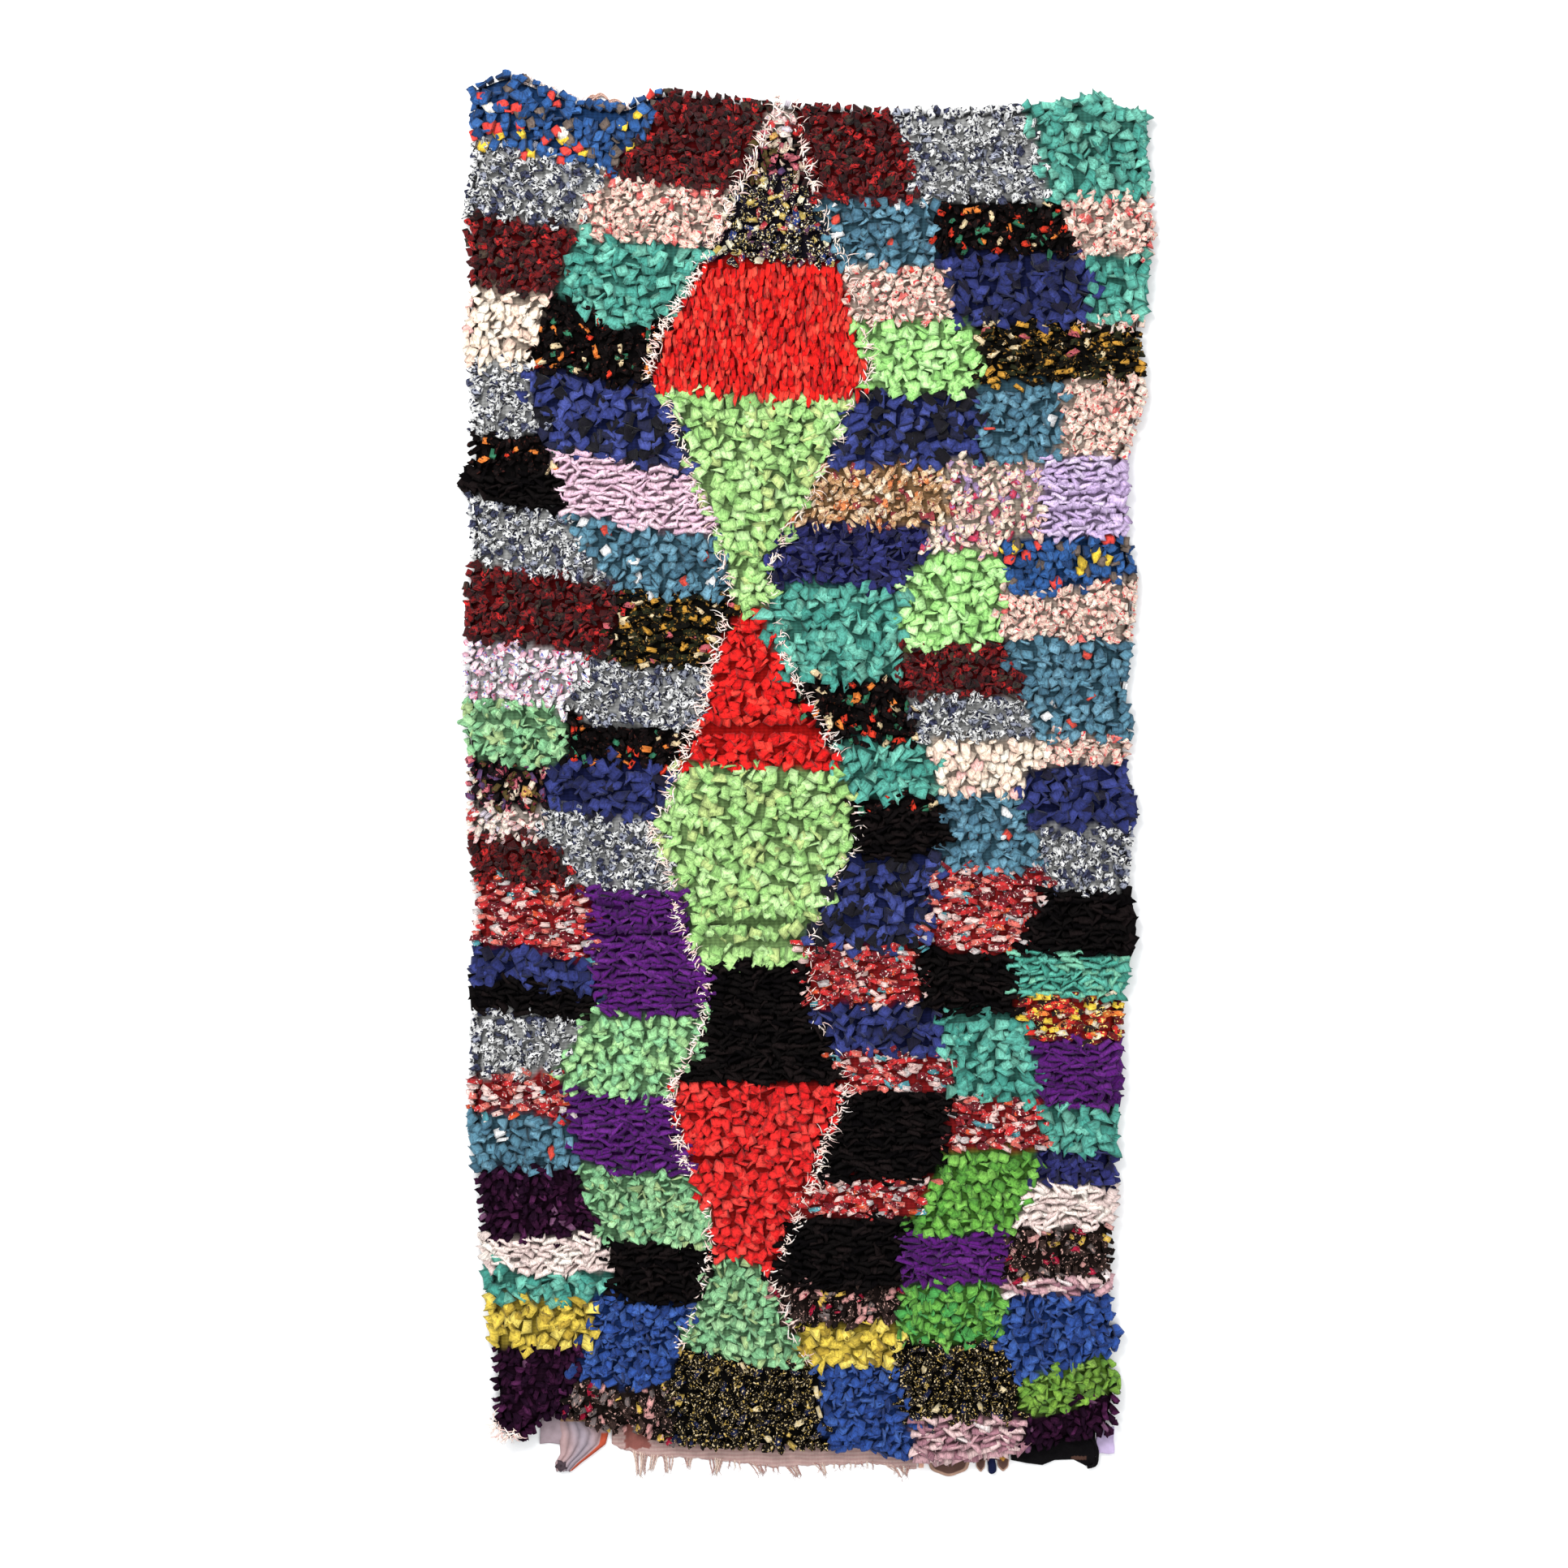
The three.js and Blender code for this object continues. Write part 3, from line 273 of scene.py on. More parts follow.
# The seams where warp ends fray out: stops along the seam, ends to a centimetre, and the way
# that they point in degrees.
FRAYED_SEAMS = [
    ([(-3.5, 108), (-5, 103), (-8, 98), (-11, 92), (-15, 83)], 3.5, 110),
    ([(-15.5, 82), (-17, 78), (-20, 74), (-23, 69), (-24.5, 63)], 5.0, 150),
    ([(-2, 107), (0.5, 96), (3, 88), (7, 81), (9, 72), (10.5, 64), (8.5, 61)], 2.2, 40),
    ([(-21.5, 61), (-19, 52), (-17, 46), (-14, 40), (-12.5, 34), (-11, 27)], 2.6, 170),
    ([(7.5, 60), (4.5, 52), (1.5, 45), (-2.5, 39), (-5.5, 33), (-6, 27)], 1.8, 20),
    ([(-12, 24.5), (-14, 17), (-16, 9), (-19, 2)], 4.5, 165),
    ([(-5, 25), (-3, 17), (0.5, 11), (3, 6), (6, 1.5)], 3.2, 20),
    ([(-19.5, 2), (-22, -6), (-24, -9.5), (-21, -16), (-19, -25), (-16.5, -31)], 3.6, 190),
    ([(7.5, -4), (8.5, -11), (5, -17), (1.5, -24), (0, -30)], 1.4, 0),
    ([(-15, -32), (-15.5, -40), (-18.5, -47), (-21, -51), (-19.5, -59), (-17.5, -65)], 4.0, 185),
    ([(-15, -69), (-14.5, -76), (-15.5, -82), (-18, -89), (-20, -92)], 2.2, 190),
    ([(6.5, -50.5), (5.5, -55), (2.5, -60), (2, -64), (-1, -70), (-4, -78)], 4.0, 0),
    ([(-6, -80), (-4, -85), (-1.5, -91), (0.5, -95)], 2.0, 10),
    ([(0.5, -31), (1.5, -38), (4.5, -43), (6, -49)], 1.2, 0),
    ([(-49.5, -103.8), (-48, -106.2), (-46.2, -105.8)], 9.0, 250),
]
FRAY_COLOURS = [(250, 226, 216), (255, 246, 240), (244, 208, 200), (252, 236, 222)]

# The lower edge of the flat-woven end, as x and y
WEB_EDGE = [
    (-30.8, -108.2), (-28.5, -109.2), (-25, -110.2), (-20, -110.3), (-15, -110.6),
    (-10, -111.2), (-5, -111.9), (0, -111.6), (5, -111.5), (11, -111.2), (14, -111.8),
    (18.2, -112.2),
]
# The bunches of its fringe: from x, to x, the tip's x and y, and the number of strands.
FRINGE = [
    (-27.6, -24.9, -26.3, -113.4, 7), (-24.5, -23.2, -24.4, -112.5, 4),
    (-22.8, -20.9, -21.8, -113.1, 5), (-19.4, -17.4, -18.5, -112.1, 5),
    (-15.3, -12.7, -14.2, -113.2, 6), (-9.2, -6.9, -6.7, -113.5, 6),
    (-3.2, -1.0, -0.9, -113.9, 6), (1.2, 3.6, 3.2, -113.2, 6), (12.6, 17.4, 16.0, -113.7, 9),
]
# Short frayed stretches between them: from x, to x, the number of ends, and their reach.
FRAYS = [(-12.2, -9.8, 3, 7), (-6.2, -3.8, 3, 6), (4.4, 11.6, 8, 5)]

# The gathered tail of the grey rag: y, from x, to x, and its height.
TAIL_ROWS = [
    (-103.9, -39.6, -33.2, 3.4), (-106.4, -39.4, -31.4, 5.5), (-108.2, -39.3, -31.9, 8.0),
    (-109.8, -39.2, -34.0, 9.0), (-111.2, -40.0, -35.8, 8.0), (-112.5, -39.8, -37.2, 6.0),
]
# The black rag: x, the y of its lower edge, and its height. Its end hooks round: x, y, height.
BLACK_RAG = [
    (33.4, -110.8, 5.5), (36.0, -111.3, 7.0), (38.4, -111.6, 7.5), (40.4, -110.8, 6.0),
    (43.4, -110.7, 5.0), (45.4, -111.7, 6.0), (46.9, -111.4, 8.0),
]
BLACK_HOOK = [
    (46.4, -106.9, 8), (47.0, -108.6, 7), (47.2, -110.4, 5), (46.7, -111.6, 3.6),
    (45.6, -111.8, 3.2),
]
# The brown rag's half-round ends: middle, reach across, reach down, and height.
BROWN_LOBES = [(23.4, 3.5, 2.7, 4.0), (28.5, 0.8, 2.0, 4.0), (32.1, 1.0, 1.9, 4.0)]
# Its side tabs: from x, to x, the lower end's y, and the colour.
SIDE_TABS = [(18.5, 19.3, -112.0, (236, 184, 160)), (31.3, 32.8, -110.9, (206, 150, 70))]
# The warp loops at the top: from x, to x, and how far they stand out in millimetres.
TOP_LOOPS = [(-35.4, -32.2, 20), (-34.6, -30.6, 24), (-32.4, -28.2, 17)]

# How the rags of a cloth stand. Sizes are in millimetres and angles in degrees.
# Pitch is the step along a row and between rows, reach is how far a rag bends over, crest is
# where along it the rag is highest, and upright is the share that stands with its edge up.
Style = namedtuple(
    "Style", "pitch width thick reach heading spread crest tip upright wave twist sides",
)
STYLES = {
    "pad": Style((15.0, 16.2), (18, 26), (5.0, 7.0), (15, 22), -90, 100, (0.74, 0.92), 1.0,
                 0.15, 0.6, 24, 8),
    "pebble": Style((13.2, 14.4), (15, 21), (4.5, 6.0), (13, 19), -90, 100, (0.74, 0.92), 0.95,
                    0.18, 0.5, 28, 8),
    "petal": Style((8.2, 13.0), (6.5, 10.5), (3.6, 5.2), (19, 30), -90, 16, (0.66, 0.84),
                   0.42, 0.0, 0.8, 60, 6),
    "blade": Style((11.8, 14.6), (13, 19), (4.0, 5.4), (16, 24), -84, 45, (0.70, 0.88), 0.72,
                   0.20, 0.7, 34, 8),
    "leaf": Style((10.6, 11.4), (14, 22), (2.6, 3.8), (11, 19), -95, 110, (0.68, 0.86), 0.62,
                  0.42, 2.4, 50, 6),
    "ridge": Style((15.4, 10.6), (20, 30), (9.0, 13.0), (3, 8), -90, 34, (0.80, 1.0), 0.98,
                   0.0, 2.2, 6, 8),
    "grain": Style((9.9, 10.6), (10, 16), (4.2, 6.0), (9, 15), -90, 170, (0.66, 0.88), 0.85,
                   0.22, 0.5, 40, 6),
    "sliver": Style((9.8, 11.0), (7, 11.5), (3.8, 5.4), (14, 23), -100, 110, (0.66, 0.86), 0.62,
                    0.20, 0.9, 50, 6),
    "streak": Style((12.0, 9.4), (7, 11), (4.0, 5.6), (15, 25), 0, 40, (0.66, 0.82), 0.70,
                    0.12, 1.2, 35, 6),
}

# The colours of a cloth as sRGB with the share of each, and the print on it if it has one:
# its two colours, the size of its spots in millimetres, and the share that they cover.
Cloth = namedtuple("Cloth", "style colours prints", defaults=[None])
CLOTHS = {
    "mint": Cloth("pad", [(172, 216, 134, 5), (190, 230, 156, 3), (152, 200, 118, 3),
        (184, 206, 130, 2)]),
    "spring": Cloth("pad", [(172, 230, 138, 5), (190, 242, 160, 3), (152, 212, 120, 2)]),
    "leaf_mint": Cloth("leaf", [(150, 208, 152, 4), (168, 216, 160, 3), (134, 194, 142, 3),
        (176, 204, 142, 2)]),
    "ridge_mint": Cloth("pebble", [(152, 208, 146, 4), (166, 212, 146, 3), (138, 198, 144, 3)]),
    "teal": Cloth("pad", [(84, 162, 146, 5), (110, 186, 166, 3), (66, 144, 130, 3), (96, 158, 140, 1)]),
    "ridge_teal": Cloth("ridge", [(92, 176, 156, 4), (120, 190, 160, 2), (66, 148, 130, 3)]),
    "slate": Cloth("pebble", [(84, 128, 148, 6), (104, 148, 168, 3), (68, 106, 126, 4),
        (226, 226, 226, 0.3), (214, 74, 60, 0.3)]),
    "peach": Cloth("blade", [(254, 230, 208, 5), (250, 216, 196, 3), (255, 240, 222, 2),
        (246, 190, 182, 1)]),
    "blush": Cloth("ridge", [(242, 222, 214, 5), (230, 206, 200, 3), (250, 236, 226, 2)]),
    "scarlet": Cloth("petal", [(250, 28, 20, 5), (255, 64, 50, 3), (208, 6, 8, 3), (255, 84, 64, 1)]),
    "crimson": Cloth("pebble", [(238, 30, 26, 5), (250, 60, 48, 2), (208, 14, 14, 3)]),
    "brick": Cloth("pebble", [(230, 38, 36, 5), (242, 66, 58, 2), (204, 22, 24, 3)]),
    "navy": Cloth("pad", [(38, 45, 100, 5), (50, 58, 120, 3), (28, 33, 76, 3), (20, 18, 40, 1)]),
    "indigo": Cloth("pad", [(45, 54, 114, 5), (62, 72, 138, 3), (25, 27, 54, 2), (14, 12, 22, 4)]),
    "midnight": Cloth("leaf", [(38, 40, 100, 5), (52, 56, 124, 2), (26, 26, 66, 3)]),
    "royal": Cloth("leaf", [(46, 80, 156, 5), (62, 98, 174, 3), (34, 62, 128, 3)]),
    "purple": Cloth("ridge", [(84, 18, 108, 5), (98, 32, 122, 2), (68, 11, 90, 3)]),
    "grass": Cloth("leaf", [(108, 178, 74, 5), (128, 194, 86, 2), (78, 164, 80, 3)]),
    "ridge_grass": Cloth("pebble", [(104, 170, 66, 5), (122, 184, 80, 2), (84, 148, 56, 3)]),
    "moss": Cloth("leaf", [(130, 176, 66, 5), (148, 190, 82, 2), (108, 156, 58, 3)]),
    "yellow": Cloth("pad", [(216, 188, 72, 5), (232, 208, 98, 3), (176, 148, 52, 2)]),
    "aubergine": Cloth("sliver", [(52, 20, 46, 5), (34, 13, 32, 5), (80, 34, 72, 1.5),
        (120, 80, 110, 0.5)]),
    "black": Cloth("ridge", [(14, 11, 11, 5), (24, 18, 18, 3), (7, 5, 6, 3)]),
    "rose": Cloth("ridge", [(232, 196, 212, 5), (222, 182, 202, 3), (242, 210, 222, 2)]),
    "lilac": Cloth("ridge", [(212, 188, 226, 5), (200, 174, 216, 3), (224, 204, 234, 2)]),
    "mauve": Cloth("ridge", [(200, 156, 162, 4), (164, 116, 128, 3), (224, 192, 190, 3),
        (236, 220, 218, 1)]),
    "cobalt": Cloth("blade", [(42, 84, 142, 8), (54, 98, 158, 4), (30, 62, 108, 4), (222, 66, 58, 2.4),
        (236, 198, 62, 1.1), (104, 90, 82, 2.2), (232, 228, 216, 0.5)]),
    "marble": Cloth("grain", [(242, 242, 240, 5), (224, 224, 222, 4), (158, 162, 178, 2),
        (66, 70, 98, 1.5)], [(30, 32, 56), (14, 14, 22), 5.5, 0.34]),
    "maroon": Cloth("grain", [(116, 12, 16, 5), (150, 20, 22, 3), (64, 8, 12, 4), (200, 34, 34, 1.6),
        (66, 54, 42, 1.8), (30, 12, 12, 2)], [(58, 6, 8), (20, 6, 8), 5.0, 0.3]),
    "petal": Cloth("grain", [(252, 226, 208, 5), (250, 212, 196, 4), (255, 238, 222, 3),
        (226, 110, 104, 0.6)], [(214, 66, 72), (240, 160, 150), 6.5, 0.13]),
    "blossom": Cloth("sliver", [(252, 246, 246, 5), (248, 226, 232, 3), (240, 186, 202, 1.2)],
        [(196, 48, 92), (110, 118, 186), 7.0, 0.14]),
    "cream": Cloth("sliver", [(246, 228, 214, 5), (240, 200, 196, 3), (206, 196, 206, 1),
        (196, 60, 60, 0.5)], [(210, 120, 120), (170, 160, 170), 6.0, 0.1]),
    "meadow": Cloth("sliver", [(30, 24, 26, 4), (90, 76, 44, 2), (206, 160, 90, 1), (236, 214, 190, 2),
        (200, 110, 120, 2), (96, 72, 110, 1.5)], [(20, 16, 18), (120, 40, 60), 6.0, 0.16]),
    "bramble": Cloth("sliver", [(34, 30, 44, 5), (26, 24, 26, 3), (92, 58, 82, 2), (196, 170, 92, 1.0),
        (240, 232, 204, 1.0), (46, 62, 120, 1), (180, 60, 70, 0.7)], [(206, 180, 110), (240, 232, 208),
        4.0, 0.14]),
    "thicket": Cloth("streak", [(22, 20, 16, 6), (44, 46, 30, 3), (206, 152, 62, 1.6),
        (236, 214, 172, 1.0), (196, 96, 104, 0.8)], [(14, 12, 10), (150, 110, 50), 6.0, 0.16]),
    "coal": Cloth("sliver", [(16, 12, 12, 10), (26, 20, 20, 4), (222, 62, 42, 1.2), (58, 122, 92, 1.0),
        (238, 212, 168, 1.0), (240, 136, 62, 0.9)], [(12, 10, 10), (60, 30, 26), 7.0, 0.1]),
    "poppy": Cloth("streak", [(206, 46, 48, 4.5), (226, 112, 100, 2.5), (244, 206, 198, 2.2),
        (116, 20, 32, 4), (204, 194, 192, 1.2), (84, 156, 166, 0.5), (222, 84, 46, 0.8)], [(112, 18, 30),
        (240, 214, 206), 4.5, 0.08]),
    "sunset": Cloth("streak", [(222, 48, 40, 3), (242, 204, 66, 2.4), (110, 16, 22, 3), (30, 18, 16, 2),
        (240, 226, 200, 1.4), (232, 122, 52, 1.6)], [(90, 12, 18), (246, 216, 120), 5.0, 0.14]),
    "tan": Cloth("sliver", [(204, 156, 108, 4), (228, 190, 148, 4), (150, 54, 62, 2), (228, 134, 78, 1.6),
        (246, 226, 200, 2)], [(120, 60, 50), (240, 214, 180), 5.0, 0.16]),
    "garden": Cloth("sliver", [(250, 230, 208, 5), (246, 206, 190, 3), (206, 66, 96, 0.8),
        (176, 150, 190, 0.8)], [(206, 80, 96), (150, 120, 170), 7.0, 0.1]),
    "gilt": Cloth("sliver", [(18, 15, 14, 9), (32, 28, 24, 4), (196, 166, 88, 0.6), (226, 208, 168, 0.5),
        (30, 36, 66, 2)], [(190, 160, 84), (220, 200, 160), 4.0, 0.1]),
    "walnut": Cloth("sliver", [(58, 44, 40, 5), (28, 22, 20, 5), (216, 156, 152, 1.6), (168, 32, 60, 1.2),
        (222, 184, 86, 0.6), (118, 106, 104, 2)], [(24, 18, 16), (190, 150, 140), 5.0, 0.12]),
}

# A first colour that stays under this in each channel makes a dark cloth, with no sheen.
DARK_CLOTH = 70

# The colours of the woven pieces and loose rags
TONES = {
    "weft": (176, 150, 142), "web": (206, 176, 168), "rosy web": (176, 134, 132),
    "web patch": (150, 92, 84), "cord": (232, 206, 190), "dusky cord": (176, 132, 126),
    "grey": (170, 156, 166), "rosy grey": (192, 160, 160), "tan": (170, 132, 96),
    "red edge": (206, 92, 66), "grey knot": (74, 62, 68), "knot hair": (120, 100, 104),
    "black": (15, 13, 15), "brown bit": (80, 56, 48), "lilac": (208, 188, 226),
    "brown": (104, 76, 68), "brown rim": (190, 152, 132), "navy": (26, 32, 66),
    "loop": (204, 166, 150),
}

# The woven pieces: material slot, replaced nodes, wefts and warps as the scale of their bands,
# the depth of the weave, and how dark the painted shade between the threads is.
Woven = namedtuple("Woven", "slot nodes wefts warps depth gap", defaults=[0.70])
WOVEN = {
    "ground_weave": Woven("warp_web", ["pile_rug"], 60, 40, 0.8 * MM),
    "frayed_warps": Woven("warp_web", [], 400, 400, 0.3 * MM, 0.94),
    "web_cloth": Woven("warp_web", ["end_web"], 260, 180, 0.6 * MM),
    "end_fringe": Woven("warp_web", ["end_web"], 300, 300, 0.4 * MM),
    "grey_rag_cloth": Woven("grey_cloth", ["grey_rag"], 420, 420, 0.4 * MM),
    "grey_rag_knot": Woven("grey_cloth", ["grey_rag"], 420, 420, 0.5 * MM),
    "black_rag_cloth": Woven("black_cloth", ["black_rag"], 420, 420, 0.4 * MM),
    "lilac_tab_cloth": Woven("lilac_cloth", ["lilac_tab"], 420, 420, 0.3 * MM),
    "brown_rag_cloth": Woven("brown_cloth", ["brown_rag"], 420, 420, 0.4 * MM),
    "navy_end_cloth": Woven("navy_cloth", ["navy_end"], 420, 420, 0.3 * MM),
    "top_loop_yarns": Woven("warp_web", ["top_loops"], 300, 300, 0.4 * MM),
}

# The shape of a rag along its length, how far it bends over, and its unevenness in millimetres
STATIONS = np.array([0.0, 0.42, 0.84, 1.0])
WIDTHS = np.array([0.7, 1.0, 1.0, 0.0])
THICKNESSES = np.array([0.9, 1.0, 0.9, 0.6])
BEND = 1.7
RAG_NOISE = 0.75

# How a rag darkens towards its root, its cut tip and its edges as painted shade, with a painted highlight
# on its top face, and how dark the bed's painted shade between the rags is
RING_SHADES = np.array([0.30, 0.62, 1.0, 0.78])
SOFT_RING_SHADES = np.array([0.46, 0.76, 1.0, 0.86])
# Across a rag's section: painted shade on its underside and lower edges, a painted highlight on its top
# face
EDGE_PLACES = [-1, -0.6, 0.6, 0.95]
EDGE_SHADES = [0.30, 0.36, 0.62, 1.08]
SOFT_EDGE_SHADES = [0.55, 0.62, 0.88, 1.04]
BED_SHADE = 0.30


def read_chart(text):
    """The patches of a chart, each as its cloth and its corners."""
    patches = []
    for word in text.split():
        if word[0].isalpha():
            patches.append((word, []))
        else:
            patches[-1][1].append([float(part) for part in word.split(",")])
    return patches


def table(rows, at, column=1):
    """Reads one column of a table at some places in its first column."""
    rows = np.array(sorted(rows))
    return np.interp(at, rows[:, 0], rows[:, column])


def linear(colour):
    """An sRGB colour from 0 to 255 as linear light."""
    c = np.asarray(colour, float) / 255.0
    return np.where(c <= 0.04045, c / 12.92, ((c + 0.055) / 1.055) ** 2.4)


def mix(a, b, t):
    return a + (b - a) * t


def wave(x):
    """A sine from 0 to 1."""
    return 0.5 + 0.5 * np.sin(x)


def grid(columns, rows):
    """The places of a sheet's points, from 0 to 1 across it and up it."""
    return np.meshgrid(np.linspace(0, 1, columns), np.linspace(0, 1, rows))


def as_column(values):
    """A value for each point, to go with rows of colours."""
    return np.ravel(values)[:, None]


def pointing(angle):
    """A unit step in the plane, at an angle in radians."""
    return np.array([math.cos(angle), math.sin(angle)])


def distances(path):
    """How far along a path each of its points is."""
    return np.concatenate([[0], np.cumsum(np.hypot(*np.diff(path, axis=0).T))])


def point_at(path, along):
    """The places on a path at some distances along it."""
    return np.stack([np.interp(along, distances(path), path[:, k]) for k in (0, 1)], axis=-1)


def curve_points(stops, steps):
    """A smooth path through a few stops."""
    stops = np.array(stops, float)
    last = len(stops) - 1
    at = np.linspace(0, last, steps)
    k = np.minimum(at.astype(int), last - 1)
    f = (at - k)[:, None]
    before, a, b, after = (stops[np.clip(k + step, 0, last)] for step in (-1, 0, 1, 2))
    bend = 2 * before - 5 * a + 4 * b - after
    turn = 3 * a - before - 3 * b + after
    return 0.5 * (2 * a + (b - before) * f + bend * f ** 2 + turn * f ** 3)


def outline():
    """The pile's outline in centimetres, as one closed loop."""
    left = [(x, y) for y, x in LEFT_EDGE if -102 < y < 108]
    right = [(x, y) for y, x in reversed(RIGHT_EDGE) if -104 < y < 105]
    return np.array(LOWER_EDGE + right + TOP_EDGE[::-1] + left, float)


def polygon_depth(points, corners):
    """How deep each point lies inside a polygon, and less than zero outside."""
    nearest = np.full(len(points), 1e9)
    inside = np.zeros(len(points), bool)
    for a, b in zip(corners, np.roll(corners, -1, axis=0)):
        edge = b - a
        t = np.clip(((points - a) @ edge) / max(edge @ edge, 1e-9), 0, 1)
        away = points - a - t[:, None] * edge
        nearest = np.minimum(nearest, np.hypot(away[:, 0], away[:, 1]))
        crosses = (a[1] > points[:, 1]) != (b[1] > points[:, 1])
        slope = edge[0] / (edge[1] if edge[1] else 1e-9)
        inside ^= crosses & (points[:, 0] < a[0] + (points[:, 1] - a[1]) * slope)
    return np.where(inside, nearest, -nearest)


RIM = outline()
PATCHES = read_chart(LEFT_OUTER_CHART + LEFT_INNER_CHART + MIDDLE_CHART + RIGHT_CHART)
PATCH_CLOTHS = np.array([cloth for cloth, _ in PATCHES])


def patch_at(points):
    """The number of the patch that each point in centimetres lies in."""
    best = np.full(len(points), -1e9)
    chosen = np.zeros(len(points), int)
    for i, (_, corners) in enumerate(PATCHES):
        depth = polygon_depth(points, np.array(corners))
        chosen = np.where(depth > best, i, chosen)
        best = np.maximum(best, depth)
    return chosen


def furrows(points, reach):
    """For each parting of the pile: how far off each point is, whether it's near, the depth."""
    for row, start, end, depth in FURROWS:
        gap = points[:, 1] - row
        near = (np.abs(gap) < reach) & (points[:, 0] > start) & (points[:, 0] < end)
        yield gap, near, depth


def pile_height(points):
    """The height of the pile in millimetres, before it thins out at the rim."""
    x, y = points.T
    swell = 1.2 * np.sin(x / 14 + 1) * np.cos(y / 19)
    lumps = 0.9 * np.sin(x / 3.1 + 2 * np.sin(y / 5.3)) * np.sin(y / 2.7 + 1.3)
    height = PILE_HEIGHT + swell + lumps
    for _, near, depth in furrows(points, FURROW_REACH):
        height = height - np.where(near, depth, 0)
    return height


def row_sag(points):
    """How far the rows of knots run off level, in centimetres."""
    x, y = points.T
    return 0.35 * np.sin(x / 9 + y / 23) + 0.0003 * x * x - 0.25 * np.sin(x / 3.7 + y / 11)


def outward(points, depth):
    """The way out of the rug at each point."""
    step = 0.2
    shifted = [polygon_depth(points + way, RIM) for way in step * np.eye(2)]
    out = depth[:, None] - np.stack(shifted, axis=1)
    return out / np.maximum(np.linalg.norm(out, axis=1, keepdims=True), 1e-6)


def knots(style, rng):
    """The places of the knots of one style over the whole rug, in centimetres."""
    step_x, step_y = (p / 10 for p in style.pitch)
    rows = np.arange(-112, 114, step_y)
    x, y = np.meshgrid(np.arange(-57, 58, step_x), rows)
    x = x + 0.5 * step_x * (np.arange(len(rows)) % 2)[:, None]
    points = np.stack([x.ravel(), y.ravel()], axis=1)
    points += rng.uniform(-0.5, 0.5, points.shape) * np.array([0.62 * step_x, 0.34 * step_y])
    points[:, 1] += row_sag(points)
    return points


def rim_knots(rng):
    """The places of the rags that stand out along the rim, in two uneven rows."""
    ring = np.vstack([RIM, RIM[:1]])
    points = point_at(ring, np.arange(0, distances(ring)[-1], RIM_PITCH))
    row = np.where(np.arange(len(points)) % 2, *RIM_ROWS) + rng.normal(0, 0.15, len(points))
    for _ in range(7):
        depth = polygon_depth(points, RIM)
        short = np.clip(row - depth, -0.4, 0.4)
        points = points - outward(points, depth) * short[:, None]
    return points + rng.normal(0, 0.10, points.shape)


Tufts = namedtuple("Tufts", "root height heading reach width thick crest tip twist wave")


def make_tufts(style, points, depth, rng):
    """Turns knots into rags: where each stands, how it leans and how large it is."""
    n = len(points)
    heading = np.radians(style.heading + rng.normal(0, 0.5, n) * style.spread)
    if style.heading == 0:
        heading = heading + np.pi * (rng.random(n) < 0.5)
    reach = rng.uniform(*style.reach, n)
    crest = rng.uniform(*style.crest, n)
    upright = rng.random(n) < style.upright
    reach = np.where(upright, 0.3 * reach, reach)
    crest = np.where(upright, 1.0, crest)
    height = pile_height(points) * rng.uniform(0.9, 1.07, n)
    rim = np.clip(1 - (depth - RIM_START) / RIM_FADE, 0, 1)
    lean = np.stack([np.cos(heading), np.sin(heading)], axis=1)
    lean = mix(lean, outward(points, depth), (rim * 0.85)[:, None])
    for gap, near, _ in furrows(points, FURROW_LEAN_REACH):
        lean[:, 1] = np.where(near, np.sign(gap) * 1.2, lean[:, 1])
    return Tufts(
        root=points * CM,
        reach=mix(reach, np.clip(depth * 10 + rng.uniform(-2, 3, n), 5, 17), rim),
        crest=mix(crest, RIM_CREST, rim),
        height=height * mix(1.0, RIM_HEIGHT_SHARE, rim),
        heading=np.arctan2(lean[:, 1], lean[:, 0]),
        width=rng.uniform(*style.width, n),
        thick=rng.uniform(*style.thick, n),
        tip=style.tip * rng.uniform(0.8, 1.2, n),
        twist=np.radians(style.twist) * rng.normal(0, 0.6, n) * (1 - 0.6 * rim),
        wave=style.wave * rng.normal(0, 1, n),
    )


def section(sides):
    """A flat section for the rags, whose fold is added where the rags are built: across and through, from
    -1 to 1.
    """
    angle = 2 * np.pi * (np.arange(sides) + 0.5) / sides
    return [np.sign(f(angle)) * np.abs(f(angle)) ** 0.5 for f in (np.cos, np.sin)]


